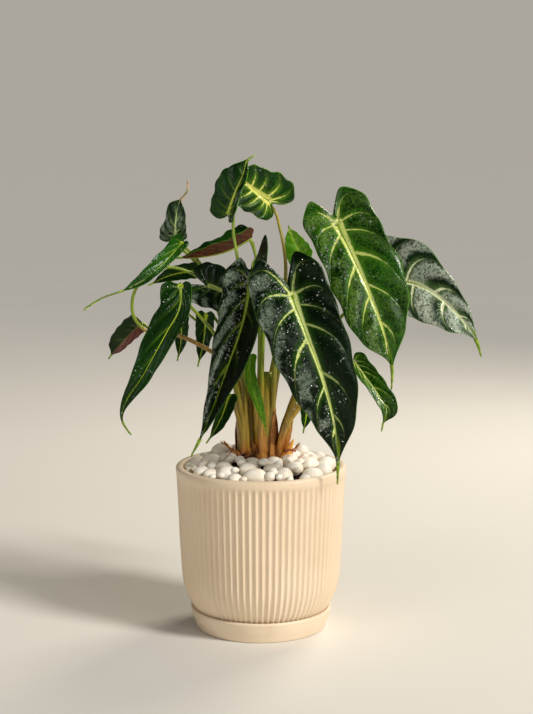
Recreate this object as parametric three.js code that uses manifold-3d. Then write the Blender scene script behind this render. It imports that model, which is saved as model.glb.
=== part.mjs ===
// Potted alocasia: a fluted ceramic pot on its saucer, soil, a bed of round white pebbles,
// three clumps of leaf stalks and twenty drooping arrow-shaped leaves.
// Millimetres, +Z up. The origin is the centre of the saucer's flat underside.
import * as THREE from "three";
import { mergeVertices } from "three/addons/utils/BufferGeometryUtils.js";
import Module from "manifold-3d";

// ---- driving dimensions -------------------------------------------------
const GAP = 0.3; // clearance between pieces that rest on each other

const SAUCER_H = 19; // overall height of the saucer
const SAUCER_FLOOR = 4; // thickness of its floor
const SAUCER_LIP = 3; // thickness of its wall at the lip
const SAUCER_PLAY = 0.5; // room between the saucer's lip and the pot

const POT_R = 76.4; // outer radius at the rim
const POT_H = 143.7; // height of the pot by itself
const POT_WALL = 6.6; // wall at the rim
const POT_FLOOR = 7; // thickness of the floor
const POT_FOOT_R = 52; // radius of the foot it stands on
const POT_BAND = 7; // plain band under the rim
const FLUTES = 76; // grooves round the pot
const FLUTE_DEPTH = 1.1;
const DRAIN_R = 6; // hole in the floor

const SOIL_DROP = 20; // soil below the rim at the wall
const SOIL_TOP = 6; // flat top of the soil, below the rim
const SOIL_TOP_R = 30; // radius of that flat top
const BED_EDGE = 10; // foot of the pebbles below the rim at the wall
const BED_CROWN = 4; // bed height above the rim near the stalks
const CLUMP_RX = 21.7; // half width and half depth of the ground the stalks stand on
const CLUMP_RY = 15.2;

const SHORTEST_EDGE = 0.04; // edges left shorter than this by a join are closed up
const BLADE_T = 1; // thickness of a leaf blade
const STALK_R = 4.3; // radius of a stalk at the soil
const STALK_TIP_R = 1.1; // radius where it meets its blade
const TIP_CLEAR = 14; // how far the front leaf's tip hangs outside the rim

// ---- derived levels -----------------------------------------------------
const POT_Z = SAUCER_FLOOR + GAP; // underside of the pot
const RIM_Z = POT_Z + POT_H; // level of the rim
const CAVITY_R = POT_R - POT_WALL; // inside radius at the rim
const HOLE_RX = CLUMP_RX + STALK_R; // open soil round the stalks
const HOLE_RY = CLUMP_RY + STALK_R;

// ---- materials ----------------------------------------------------------
const paint = (color, roughness, extra = {}) =>
  new THREE.MeshStandardMaterial({ color, roughness, metalness: 0, ...extra });
const CREAM = () => paint(0xe3cfae, 0.55);
const EARTH = () => paint(0x2e2015, 0.95);
const WHITE_STONE = () => paint(0xe9e4da, 0.6);
const STALK = () => paint(0xa8872f, 0.5);
const LEAF = () => paint(0x1f4a1c, 0.3);
const LEAF_DARK = () => paint(0x10260f, 0.25);
const LEAF_LIGHT = () => paint(0x6c9a26, 0.4);
const MAROON = () => paint(0x4a2018, 0.4);

// ---- solids: joining and cutting ---------------------------------------
const wasm = await Module();
wasm.setup();

function solid(geometry) {
  const g = geometry.clone();
  for (const name of Object.keys(g.attributes))
    if (name !== "position") g.deleteAttribute(name);
  const m = mergeVertices(g, 1e-4);
  const tri = [];
  const idx = m.index.array;
  for (let i = 0; i < idx.length; i += 3)
    if (idx[i] !== idx[i + 1] && idx[i + 1] !== idx[i + 2] && idx[i] !== idx[i + 2])
      tri.push(idx[i], idx[i + 1], idx[i + 2]);
  return new wasm.Manifold(
    new wasm.Mesh({
      numProp: 3,
      vertProperties: new Float32Array(m.attributes.position.array),
      triVerts: new Uint32Array(tri),
    }),
  );
}

function geometryOf(body) {
  const m = body.getMesh();
  const p = new Float32Array(m.numVert * 3);
  for (let i = 0; i < m.numVert; i++)
    for (let k = 0; k < 3; k++) p[3 * i + k] = m.vertProperties[m.numProp * i + k];
  // the two ends of a very short edge become one vertex
  const same = Array.from({ length: m.numVert }, (_, i) => i);
  const find = (i) => (same[i] === i ? i : (same[i] = find(same[i])));
  const apart = (a, b) =>
    Math.hypot(p[3 * a] - p[3 * b], p[3 * a + 1] - p[3 * b + 1], p[3 * a + 2] - p[3 * b + 2]);
  for (let i = 0; i < m.triVerts.length; i += 3)
    for (let k = 0; k < 3; k++) {
      const a = find(m.triVerts[i + k]);
      const b = find(m.triVerts[i + ((k + 1) % 3)]);
      if (a !== b && apart(a, b) < SHORTEST_EDGE) same[Math.max(a, b)] = Math.min(a, b);
    }
  const index = [];
  for (let i = 0; i < m.triVerts.length; i += 3) {
    const [a, b, c] = [0, 1, 2].map((k) => find(m.triVerts[i + k]));
    if (a !== b && b !== c && a !== c) index.push(a, b, c);
  }
  const g = new THREE.BufferGeometry();
  g.setAttribute("position", new THREE.BufferAttribute(p, 3));
  g.setIndex(index);
  return g;
}

const group = new THREE.Group();
function put(parent, name, geometry, material) {
  geometry.computeVertexNormals();
  const mesh = new THREE.Mesh(geometry, material);
  mesh.name = name;
  parent.add(mesh);
  return mesh;
}

// A profile of [radius, height] pairs from the axis back to the axis, turned about +Z.
function turned(profile, segments) {
  const g = new THREE.LatheGeometry(
    profile.map(([r, z]) => new THREE.Vector2(r, z)),
    segments,
  );
  return g.rotateX(Math.PI / 2);
}

// ---- pot ----------------------------------------------------------------
// Outer radius of the pot at a height above its foot: the side leans in slightly
// down to the round shoulder, then curves in to the foot.
const SIDE = [
  [0, POT_FOOT_R],
  [5, POT_R - 20.2],
  [15, POT_R - 16.2],
  [23, POT_R - 12.2],
  [36, POT_R - 7.5],
  [66, POT_R - 4],
  [POT_H - POT_BAND - 0.8, POT_R - 0.5],
];
const atHeight = (h) => {
  for (let i = 1; i < SIDE.length; i++)
    if (h <= SIDE[i][0]) {
      const [h0, r0] = SIDE[i - 1];
      const [h1, r1] = SIDE[i];
      return r0 + ((r1 - r0) * (h - h0)) / (h1 - h0);
    }
  return POT_R;
};
{
  const lip = [
    [POT_R, POT_H - POT_BAND],
    [POT_R, POT_H - 2.2],
    [POT_R - 2.2, POT_H],
  ];
  const outer = turned(
    [[0, 0], ...SIDE.map(([h, r]) => [r, h]), ...lip, [0, POT_H]],
    FLUTES * 2,
  );
  // every second column of the side is drawn in, which leaves a rib between two grooves
  const pos = outer.attributes.position;
  for (let i = 0; i < pos.count; i++) {
    const x = pos.getX(i), y = pos.getY(i), z = pos.getZ(i);
    const r = Math.hypot(x, y);
    if (r < POT_FOOT_R + 1 || z < 1 || z > POT_H - POT_BAND - 0.5) continue;
    const column = Math.round((Math.atan2(y, x) / Math.PI) * FLUTES);
    if (column % 2 === 0) continue;
    const k = (r - FLUTE_DEPTH) / r;
    pos.setXY(i, x * k, y * k);
  }
  const cavity = turned(
    [
      [0, POT_FLOOR],
      [POT_FOOT_R - 8, POT_FLOOR],
      [atHeight(26) - POT_WALL - 4, 26],
      [atHeight(60) - POT_WALL, 60],
      [CAVITY_R, POT_H - 12],
      [CAVITY_R, POT_H - 2.2],
      [CAVITY_R + 2.2, POT_H + 0.4],
      [0, POT_H + 0.4],
    ],
    48,
  );
  const drain = new THREE.CylinderGeometry(DRAIN_R, DRAIN_R, POT_FLOOR + 4, 20)
    .rotateX(Math.PI / 2)
    .translate(0, 0, POT_FLOOR / 2);
  const body = solid(outer).subtract(solid(cavity)).subtract(solid(drain));
  put(group, "pot", geometryOf(body), CREAM()).position.z = POT_Z;
}

// ---- saucer -------------------------------------------------------------
{
  const inside = atHeight(SAUCER_H - POT_Z) + SAUCER_PLAY;
  const lipR = inside + SAUCER_LIP;
  put(
    group,
    "saucer",
    turned(
      [
        [0, 0],
        [lipR - 5.5, 0],
        [lipR - 4.7, 1],
        [lipR - 2, SAUCER_H * 0.45],
        [lipR, SAUCER_H - 1.2],
        [lipR - 0.9, SAUCER_H],
        [lipR - 2.1, SAUCER_H],
        [inside, SAUCER_H - 1.2],
        [inside - 1, SAUCER_FLOOR + 5],
        [inside - 4, SAUCER_FLOOR],
        [0, SAUCER_FLOOR],
      ],
      56,
    ),
    CREAM(),
  );
}

// ---- soil ---------------------------------------------------------------
put(
  group,
  "soil",
  turned(
    [
      [0, POT_FLOOR + GAP],
      [POT_FOOT_R - 10, POT_FLOOR + GAP],
      [atHeight(26) - POT_WALL - 6, 26],
      [atHeight(60) - POT_WALL - 1.5, 60],
      [CAVITY_R - 1, POT_H - SOIL_DROP],
      [SOIL_TOP_R + 20, POT_H - SOIL_DROP + 5],
      [SOIL_TOP_R, POT_H - SOIL_TOP],
      [0, POT_H - SOIL_TOP],
    ],
    36,
  ),
  EARTH(),
).position.z = POT_Z;

// ---- everything above is set from the rim -------------------------------
const top = new THREE.Group();
top.position.z = RIM_Z;
group.add(top);

// ---- pebbles ------------------------------------------------------------
const pebbleShape = (x, y, z, a, b, c, turn, tilt, grow = 0, joined = false) => {
  const g = joined ? new THREE.OctahedronGeometry(1, 1) : new THREE.IcosahedronGeometry(1, 1);
  g.scale(a / 2 + grow, b / 2 + grow, c / 2 + grow);
  g.rotateX(tilt).rotateZ(turn).translate(x, y, z);
  return g;
};
// repeatable small variation for pebble i
const vary = (i, k) => {
  const s = Math.sin(i * 12.9898 + k * 78.233) * 43758.5453;
  return s - Math.floor(s);
};
{
  const innerR = CAVITY_R - GAP - 0.6;
  const ringOf = (n, rx, ry, z, size, phase, kind) =>
    Array.from({ length: n }, (_, i) => {
      const t = ((i + phase + 0.25 * (vary(i, kind) - 0.5)) / n) * 2 * Math.PI;
      const s = size * (0.9 + 0.25 * vary(i, kind + 1));
      return [
        rx * Math.cos(t),
        ry * Math.sin(t),
        z + 2 * (vary(i, kind + 2) - 0.5),
        s,
        s * (0.74 + 0.12 * vary(i, kind + 3)),
        s * 0.62,
        t + Math.PI / 2 + 0.6 * (vary(i, kind + 4) - 0.5),
        0.3 * (vary(i, kind + 5) - 0.5),
      ];
    });
  const outerRing = ringOf(18, innerR - 9, innerR - 9, -5, 18.5, 0.1, 1);
  const looseRing = ringOf(12, innerR - 25, innerR - 26.5, 3, 17, 0.4, 11);
  const innerRing = ringOf(10, HOLE_RX + 7, HOLE_RY + 7.5, BED_CROWN + 3.5, 16.5, 0.2, 23);

  let bed = solid(
    turned(
      [
        [0, -SOIL_TOP + GAP],
        [SOIL_TOP_R + 0.2, -SOIL_TOP + GAP],
        [SOIL_TOP_R + 20.2, -SOIL_DROP + 5 + GAP],
        [innerR, -SOIL_DROP + GAP + 0.3],
        [innerR, -BED_EDGE],
        [SOIL_TOP_R + 22, -4],
        [SOIL_TOP_R, BED_CROWN],
        [0, BED_CROWN],
      ],
      32,
    ),
  );
  for (const p of [...outerRing, ...innerRing]) bed = bed.add(solid(pebbleShape(...p, 0, true)));
  const walls = solid(
    turned([[0, -SOIL_DROP - 8], [innerR, -SOIL_DROP - 8], [innerR, 26], [0, 26]], 32),
  );
  bed = bed.intersect(walls);
  for (const p of looseRing) bed = bed.subtract(solid(pebbleShape(...p, GAP + 1.3, true)));
  const open = new THREE.CylinderGeometry(1, 1, 60, 24)
    .rotateX(Math.PI / 2)
    .scale(HOLE_RX, HOLE_RY, 1);
  bed = bed.subtract(solid(open));
  // nothing of the bed reaches into the soil's mound
  const mound = turned(
    [
      [0, -SOIL_DROP - 30],
      [innerR + 4, -SOIL_DROP - 30],
      [innerR + 4, -SOIL_DROP + GAP],
      [SOIL_TOP_R + 20.2, -SOIL_DROP + 5 + GAP],
      [SOIL_TOP_R + 0.2, -SOIL_TOP + GAP],
      [0, -SOIL_TOP + GAP],
    ],
    32,
  );
  bed = bed.subtract(solid(mound));
  const whole = bed.decompose().sort((a, b) => b.volume() - a.volume())[0];
  put(top, "pebble_bed", geometryOf(whole), WHITE_STONE());
  looseRing.forEach((p, i) =>
    put(top, "pebble_" + String(i + 1).padStart(2, "0"), pebbleShape(...p), WHITE_STONE()),
  );
}

// ---- curves -------------------------------------------------------------
const V = (p) => new THREE.Vector3(...p);
const curveThrough = (points) => new THREE.CatmullRomCurve3(points.map(V), false, "centripetal");

// Closed tapering tube through points; sides are carried along without twist.
function taperedTube(points, r0, r1, sides, steps) {
  const curve = curveThrough(points);
  const frames = curve.computeFrenetFrames(steps, false);
  const pos = [];
  const idx = [];
  for (let i = 0; i <= steps; i++) {
    const u = i / steps;
    const c = curve.getPointAt(u);
    const r = r1 + (r0 - r1) * (1 - u) ** 1.6;
    for (let j = 0; j < sides; j++) {
      const a = (j / sides) * 2 * Math.PI;
      const p = c
        .clone()
        .addScaledVector(frames.normals[i], r * Math.cos(a))
        .addScaledVector(frames.binormals[i], r * Math.sin(a));
      pos.push(p.x, p.y, p.z);
    }
  }
  for (let i = 0; i < steps; i++)
    for (let j = 0; j < sides; j++) {
      const a = i * sides + j;
      const b = i * sides + ((j + 1) % sides);
      idx.push(a, b, b + sides, a, b + sides, a + sides);
    }
  for (let j = 1; j < sides - 1; j++) {
    idx.push(0, j + 1, j);
    const e = steps * sides;
    idx.push(e, e + j, e + j + 1);
  }
  const g = new THREE.BufferGeometry();
  g.setAttribute("position", new THREE.Float32BufferAttribute(pos, 3));
  g.setIndex(idx);
  return g;
}

// ---- leaf blade ---------------------------------------------------------
// A blade is laid out flat: x runs along the midrib from the stalk's joint to the drip tip,
// d is the distance to either side. Each half has its own half width W and lobe length B,
// and full and lean say how much of the width is left at 0.4 and 0.7 of the length.
// The flat shape is then bent along the midrib's curve in space, each half raised by its
// fold angle and rolled by its curl.
function halfOutline(leaf, side, L) {
  const W = leaf.W[side], B = leaf.B[side];
  const body = (1 - leaf.drip) / 0.9;
  const p = [
    [-leaf.notch, 0],
    [-0.55 * B, 0.12 * W],
    [-B, 0.5 * W],
    [-0.55 * B, 0.93 * W],
    [0.1 * L, W],
    [0.4 * body * L, leaf.full[side] * W],
    [0.7 * body * L, leaf.lean[side] * W],
    [(1 - leaf.drip) * L, 0.05 * W],
    [L, 0],
  ];
  return new THREE.SplineCurve(p.map(([x, y]) => new THREE.Vector2(x, y)));
}

function ribFrame(leaf) {
  const curve = curveThrough(leaf.rib);
  const L = curve.getLength();
  const n0 = V(leaf.face).normalize();
  const n1 = V(leaf.faceTip ?? leaf.face).normalize();
  return {
    L,
    at(x) {
      const q = Math.min(Math.max(x / L, 0), 1);
      const T = curve.getTangentAt(Math.min(Math.max(q, 0.001), 0.999));
      const M = curve.getPointAt(q);
      if (x < 0) M.addScaledVector(T, x);
      const N = n0.clone().lerp(n1, q);
      N.addScaledVector(T, -N.dot(T)).normalize();
      return { M, T, N, S: T.clone().cross(N) };
    },
  };
}

function bladeGeometry(leaf, rows, cols) {
  const rib = ribFrame(leaf);
  const { L } = rib;
  const start = 0.3; // share of the outline taken by the lobe behind the joint
  const place = (x, d, side) => {
    const { M, N, S } = rib.at(x);
    const fold = THREE.MathUtils.degToRad(leaf.fold[side]);
    const k = THREE.MathUtils.degToRad(leaf.curl?.[side] ?? 0) / leaf.W[side];
    const cs = k ? (Math.sin(fold + k * d) - Math.sin(fold)) / k : d * Math.cos(fold);
    const sn = k ? (Math.cos(fold) - Math.cos(fold + k * d)) / k : d * Math.sin(fold);
    return M.addScaledVector(S, side ? -cs : cs).addScaledVector(N, sn);
  };
  const points = [];
  const faces = [];
  const key = new Map();
  const vertex = (v) => {
    const id = [v.x, v.y, v.z].map((c) => Math.round(c * 1e3)).join();
    if (!key.has(id)) {
      key.set(id, points.length);
      points.push(v);
    }
    return key.get(id);
  };
  const edge = [];
  for (const side of [0, 1]) {
    const outline = halfOutline(leaf, side, L);
    const grid = [];
    for (let i = 0; i <= rows; i++) {
      const u = i / rows;
      const o = outline.getPointAt(u);
      const foot = u < start ? 0 : L * ((u - start) / (1 - start)) ** 1.1;
      const reach = Math.hypot(o.x - foot, o.y);
      const bend = u > 0 ? -0.1 * reach * Math.min(1, u / start) : 0;
      grid.push(
        Array.from({ length: cols + 1 }, (_, j) => {
          const a = j / cols;
          const x = (1 - a) ** 2 * foot + 2 * a * (1 - a) * ((foot + o.x) / 2 + bend) + a * a * o.x;
          const d = a * (1 - a) * o.y + a * a * o.y;
          return vertex(place(x, d < 1e-6 ? 0 : d, side));
        }),
      );
    }
    for (let i = 0; i < rows; i++)
      for (let j = 0; j < cols; j++) {
        const [a, b, c, d] = [grid[i][j], grid[i + 1][j], grid[i + 1][j + 1], grid[i][j + 1]];
        for (const t of [[a, b, c], [a, c, d]])
          if (t[0] !== t[1] && t[1] !== t[2] && t[0] !== t[2])
            faces.push(side ? [t[0], t[2], t[1]] : t);
      }
    for (let i = 0; i < rows; i++) edge.push(side ? [grid[i + 1][cols], grid[i][cols]] : [grid[i][cols], grid[i + 1][cols]]);
  }
  // thicken to a closed shell
  const normals = points.map(() => new THREE.Vector3());
  for (const [a, b, c] of faces) {
    const n = points[b].clone().sub(points[a]).cross(points[c].clone().sub(points[a]));
    for (const i of [a, b, c]) normals[i].add(n);
  }
  const n = points.length;
  const pos = [];
  for (const s of [1, -1])
    points.forEach((p, i) => {
      const v = p.clone().addScaledVector(normals[i].clone().normalize(), (s * BLADE_T) / 2);
      pos.push(v.x, v.y, v.z);
    });
  const idx = [];
  for (const [a, b, c] of faces) idx.push(a, b, c, a + n, c + n, b + n);
  for (const [a, b] of edge) if (a !== b) idx.push(a, b, b + n, a, b + n, a + n);
  const g = new THREE.BufferGeometry();
  g.setAttribute("position", new THREE.Float32BufferAttribute(pos, 3));
  g.setIndex(idx);
  return g;
}

// ---- the leaves ---------------------------------------------------------
// rib: points of the midrib, from the stalk's joint to the drip tip, above the rim.
// face: which way the upper side looks at the joint; faceTip: at the tip.
// Side 0 is on the left of a hanging leaf seen from its upper side.
const outward = (x, y, clear) => {
  const k = (POT_R + clear) / Math.hypot(x, y);
  return [x * k, y * k];
};
const LEAVES = {
  leaf_front_large: {
    rib: [[27, -60, 157], [38, -69, 128], [52, -73, 90], [63, -72, 46], [...outward(66, -66, TIP_CLEAR + 3), 14], [...outward(66, -62, TIP_CLEAR), -5]],
    face: [0.15, -1, 0.25], faceTip: [0.1, -1, -0.1], W: [34, 32], B: [39, 36], full: [0.93, 0.96], lean: [0.45, 0.54],
    fold: [8, 14], curl: [-15, -10], notch: 13, drip: 0.12, paint: LEAF_DARK,
    stalk: { clump: "stalks_centre", path: [[5, -8, 3], [10, -8, 46], [13, -14, 96], [20, -34, 137]] },
  },
  leaf_front_left: {
    rib: [[-9, -17, 164], [-15, -26, 133], [-28, -34, 95], [-41, -38, 59], [-53, -40, 30], [-61, -41, 15]],
    face: [-0.35, -1, 0.1], faceTip: [-0.3, -1, 0], W: [24, 33], B: [22, 42], full: [0.75, 1.1], lean: [0.34, 0.44],
    fold: [22, 50], curl: [-20, 0], notch: 14, drip: 0.1, paint: LEAF_DARK,
    stalk: { clump: "stalks_centre", path: [[1, -9, 4], [0, -8, 60], [2, -8, 123], [5, -6, 175], [0, -3, 188], [-6, -4, 182]] },
  },
  leaf_right_large: {
    rib: [[67, -12, 215], [80, -24, 188], [95, -34, 154], [107, -38, 121], [114, -34, 92], [114, -30, 72]],
    face: [0, -1, 0.3], faceTip: [0.1, -1, 0], W: [27, 34], B: [29, 30], full: [1.05, 1.05], lean: [0.8, 0.58],
    fold: [10, 10], curl: [-15, -15], notch: 10, drip: 0.14, paint: LEAF,
    stalk: { clump: "stalks_right", path: [[15, 0, 2], [20, 2, 30], [32, 6, 63], [53, 12, 120], [66, 14, 173], [69, 4, 201]] },
  },
  leaf_right_far: {
    rib: [[115, 34, 162], [139, 26, 160], [158, 18, 150], [177, 10, 132], [191, 2, 113], [196, 0, 97]],
    face: [0, -1, 0.5], faceTip: [0.1, -1, 0.3], W: [36, 40], B: [32, 34], full: [0.87, 0.56], lean: [0.5, 0.25],
    fold: [8, 14], curl: [-10, -10], notch: 10, drip: 0.13, paint: LEAF,
    stalk: { clump: "stalks_right", path: [[16, 5, 0], [21, 11, 29], [41, 24, 82], [81, 40, 136], [107, 44, 155]] },
  },
  leaf_right_twisted: {
    rib: [[83, -2, 93], [93, -10, 80], [104, -16, 65], [111, -18, 52], [108, -16, 39], [107, -14, 32]],
    face: [0.2, -1, 0.1], faceTip: [0.1, -1, 0], W: [6, 11], B: [5, 6], full: [0.9, 1.05], lean: [0.9, 0.95],
    fold: [20, 16], notch: 2, drip: 0.1, paint: LEAF,
    stalk: { clump: "stalks_right", path: [[17, -6, 3], [21, -6, 32], [36, -4, 54], [57, -2, 76], [74, 4, 90]] },
  },
  leaf_top_heart: {
    rib: [[6, 26, 235], [-6, 20, 244], [-17, 14, 253], [-27, 10, 265]],
    face: [-0.1, -1, 0.25], faceTip: [-0.2, -1, 0.3], W: [26, 19], B: [21, 12], full: [0.78, 1.1], lean: [0.7, 0.75],
    fold: [10, 12], notch: 6, drip: 0.08, paint: LEAF_LIGHT,
    stalk: { clump: "stalks_centre", path: [[2, 2, 1], [6, 4, 57], [18, 10, 129], [22, 18, 180], [17, 28, 210], [12, 34, 226]] },
  },
  leaf_top_upright: {
    rib: [[-28, -6, 225], [-22, -12, 243], [-15, -14, 259], [-11, -12, 271], [-5, -8, 275]],
    face: [-0.35, -1, 0], faceTip: [-0.2, -1, 0.1], W: [12, 18], B: [6, 9], full: [0.8, 1.05], lean: [0.5, 0.8],
    fold: [45, 8], notch: 3, drip: 0.12, paint: LEAF,
    stalk: { clump: "stalks_left", path: [[-13, -4, 2], [-14, -5, 59], [-16, -4, 121], [-20, -3, 182], [-24, -1, 206]] },
  },
  leaf_tip_small: {
    rib: [[-76, 14, 204], [-75, 8, 218], [-72, 8, 234], [-65, 12, 244], [-65, 14, 253]],
    face: [0, -1, 0.2], faceTip: [0, -1, 0], W: [10, 14], B: [4, 6], full: [0.9, 0.7], lean: [0.4, 0.35],
    fold: [12, 12], notch: 3, drip: 0.36, paint: LEAF,
    stalk: { clump: "stalks_left", path: [[-15, 7, -1], [-18, 18, 54], [-32, 32, 113], [-54, 40, 172], [-66, 33, 186], [-75, 23, 196]] },
  },
  leaf_left_long: {
    rib: [[-70, 6, 198], [-83, -10, 183], [-98, -22, 170], [-117, -30, 160], [-137, -36, 153], [-153, -38, 143]],
    face: [-0.2, -1, 0.35], faceTip: [0, -1, 0.3], W: [9, 6], B: [8, 4], full: [1.05, 0.7], lean: [0.6, 0.6],
    fold: [15, 15], notch: 4, drip: 0.34, paint: LEAF,
    stalk: { clump: "stalks_left", path: [[-17, 5, 0], [-21, 14, 56], [-30, 22, 109], [-48, 28, 160], [-55, 30, 178], [-67, 22, 192]] },
  },
  leaf_left_hanging: {
    rib: [[-69, -34, 163], [-69, -40, 147], [-82, -46, 122], [-98, -50, 93], [-119, -50, 47], [-112, -46, 35]],
    face: [-0.1, -1, 0.2], faceTip: [-0.1, -1, 0.1], W: [17, 9], B: [5, 4], full: [0.9, 1.05], lean: [0.35, 0.6],
    fold: [12, 14], notch: 4, drip: 0.09, paint: LEAF,
    stalk: { clump: "stalks_left", path: [[-15, -7, 3], [-20, -10, 60], [-34, -10, 109], [-53, -12, 134], [-63, -22, 147]] },
  },
  leaf_left_middle: {
    rib: [[-45, 10, 159], [-34, 8, 155], [-20, 8, 146], [-9, 9, 131]],
    face: [0, -1, 0.25], faceTip: [0, -1, 0.2], W: [20, 20], B: [24, 20], full: [0.9, 0.79], lean: [0.5, 0.41],
    fold: [12, 12], notch: 4, drip: 0.08, paint: LEAF_DARK,
    stalk: { clump: "stalks_left", path: [[-14, 3, 1], [-17, 8, 57], [-30, 12, 91], [-43, 14, 99], [-79, 12, 116], [-101, 6, 119], [-113, 0, 134], [-113, -2, 151], [-104, -2, 167], [-88, 3, 176], [-74, 12, 175], [-60, 18, 169]] },
  },
  leaf_left_folded: {
    rib: [[-108, 16, 124], [-119, 20, 114], [-130, 22, 102], [-138, 22, 92]],
    face: [0.4, -1, 0.4], faceTip: [0.4, -1, 0.3], W: [13, 7], B: [3, 2], full: [0.95, 0.9], lean: [0.75, 0.7],
    fold: [18, 18], notch: 1, drip: 0.08, paint: MAROON,
    stalk: { clump: "stalks_left", branch: true, path: [[-101, 6, 119], [-99, 13, 120], [-102, 20, 121]] },
  },
  leaf_maroon: {
    rib: [[-10, 26, 201], [-32, 17, 190], [-53, 9, 186], [-77, 4, 185]],
    face: [0, -0.15, 1], W: [17, 14], B: [5, 5], full: [0.9, 0.95], lean: [0.55, 0.6],
    fold: [42, 62], notch: 3, drip: 0.08, paint: MAROON,
    stalk: { clump: "stalks_centre", path: [[0, 4, 1], [-1, 7, 57], [-1, 14, 120], [-3, 24, 175]] },
  },
  leaf_left_curl: {
    rib: [[-61, 27, 171], [-80, 23, 168], [-101, 17, 159]],
    face: [0, -1, 0.3], W: [8, 7], B: [5, 5], full: [0.9, 0.9], lean: [0.5, 0.5],
    fold: [16, 16], notch: 2, drip: 0.1, paint: LEAF_LIGHT,
    stalk: { clump: "stalks_left", path: [[-13, 8, 0], [-15, 16, 55], [-21, 22, 109], [-42, 34, 150], [-55, 37, 165]] },
  },
  leaf_back_left_a: {
    rib: [[-50, 34, 130], [-53, 36, 103], [-58, 34, 83]],
    face: [0, -1, 0.1], W: [9, 8], B: [5, 5], full: [0.9, 0.9], lean: [0.5, 0.5],
    fold: [16, 16], notch: 2, drip: 0.1, paint: LEAF_LIGHT,
    stalk: { clump: "stalks_left", path: [[-12, 9, 0], [-14, 22, 54], [-26, 34, 99], [-40, 41, 124], [-46, 41, 131]] },
  },
  leaf_back_left_b: {
    rib: [[-73, 42, 127], [-74, 44, 102], [-77, 42, 87]],
    face: [0, -1, 0.1], W: [7, 7], B: [4, 4], full: [0.9, 0.9], lean: [0.5, 0.5],
    fold: [16, 16], notch: 2, drip: 0.1, paint: LEAF,
    stalk: { clump: "stalks_left", path: [[-13, 10, -2], [-17, 28, 53], [-36, 44, 102], [-60, 52, 124], [-69, 50, 130]] },
  },
  leaf_back_light: {
    rib: [[36, 46, 185], [30, 48, 198], [25, 48, 211]],
    face: [0, -1, 0.1], W: [11, 13], B: [8, 10], full: [0.8, 0.8], lean: [0.42, 0.42],
    fold: [14, 14], notch: 2, drip: 0.06, paint: LEAF_LIGHT,
    stalk: { clump: "stalks_centre", path: [[5, 6, 0], [11, 14, 56], [25, 34, 126], [36, 50, 168]] },
  },
  leaf_inner_bright: {
    rib: [[-9, -22, 101], [-9, -26, 82], [-2, -28, 59], [6, -26, 31]],
    face: [0.2, -1, 0], W: [5, 5], B: [2, 2], full: [0.95, 1.05], lean: [0.5, 0.7],
    fold: [20, 25], notch: 1, drip: 0.08, paint: LEAF_LIGHT,
    stalk: { clump: "stalks_centre", path: [[-1, -3, 2], [-4, -8, 41], [-8, -13, 85]] },
  },
  leaf_inner_dark: {
    rib: [[-28, -24, 66], [-35, -26, 46], [-48, -28, 24]],
    face: [-0.2, -1, 0.1], W: [6, 8], B: [3, 3], full: [0.9, 0.9], lean: [0.5, 0.5],
    fold: [14, 14], notch: 1, drip: 0.1, paint: LEAF_DARK,
    stalk: { clump: "stalks_left", path: [[-16, -4, 2], [-19, -12, 38], [-25, -18, 60]] },
  },
  leaf_inner_small: {
    rib: [[41, -26, 62], [40, -28, 49], [37, -28, 33]],
    face: [0, -1, 0], W: [6, 6], B: [3, 3], full: [0.9, 0.9], lean: [0.5, 0.5],
    fold: [14, 14], notch: 1, drip: 0.12, paint: LEAF_DARK,
    stalk: { clump: "stalks_right", path: [[16, -8, 4], [20, -13, 34], [31, -18, 56]] },
  },
};

const BIG = 60; // midrib length from which a blade gets the finer grid
for (const [name, leaf] of Object.entries(LEAVES)) {
  const long = ribFrame(leaf).L > BIG;
  put(top, name, bladeGeometry(leaf, long ? 11 : 8, long ? 3 : 2), leaf.paint());
}

// ---- stalks: each clump is one body of stalks that sheathe each other ---
const clumps = { stalks_left: [], stalks_centre: [], stalks_right: [] };
// the feet stand at slightly different depths, so no two share a flat bottom
const standing = (path, i) => [[path[0][0], path[0][1], -SOIL_TOP + GAP + 0.17 * i], ...path];
for (const leaf of Object.values(LEAVES)) {
  const { clump, path, branch } = leaf.stalk;
  const { M, N } = ribFrame(leaf).at(0);
  const reach = (d) => M.clone().addScaledVector(N, -d).toArray();
  const points = [...(branch ? path : standing(path, clumps[clump].length)), reach(5.5), reach(BLADE_T / 2 + 3 * GAP)];
  const steps = Math.round(5 + 1.5 * path.length);
  clumps[clump].push(taperedTube(points, branch ? 1.5 : STALK_R, STALK_TIP_R, 5, steps));
}
// short stubs of old stalks that close each clump
clumps.stalks_left.push(taperedTube(standing([[-19, 2, 10], [-22, 2, 42], [-25, 4, 62]], 11), 5, 2, 6, 5));
clumps.stalks_centre.push(taperedTube(standing([[4, -4, 10], [6, -2, 50], [6, 0, 84]], 7), 6.5, 2, 8, 6));
clumps.stalks_right.push(taperedTube(standing([[16, -3, 10], [19, -4, 26]], 5), 5, 2.4, 6, 4));

// a dry root looped over the pebbles beside the right-hand clump
put(
  top,
  "root_curl",
  taperedTube([[22, -20, BED_CROWN + 11], [24, -22, BED_CROWN + 13], [28, -22, BED_CROWN + 12.6], [31, -19, BED_CROWN + 10.8]], 1.3, 0.8, 6, 8),
  MAROON(),
);

for (const [name, tubes] of Object.entries(clumps)) {
  let body = solid(tubes[0]);
  for (const t of tubes.slice(1)) body = body.add(solid(t));
  put(top, name, geometryOf(body), STALK());
}

export default group;
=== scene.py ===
import math
import random

import bmesh
import bpy
import numpy as np
from mathutils import Matrix, Vector, noise


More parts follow.
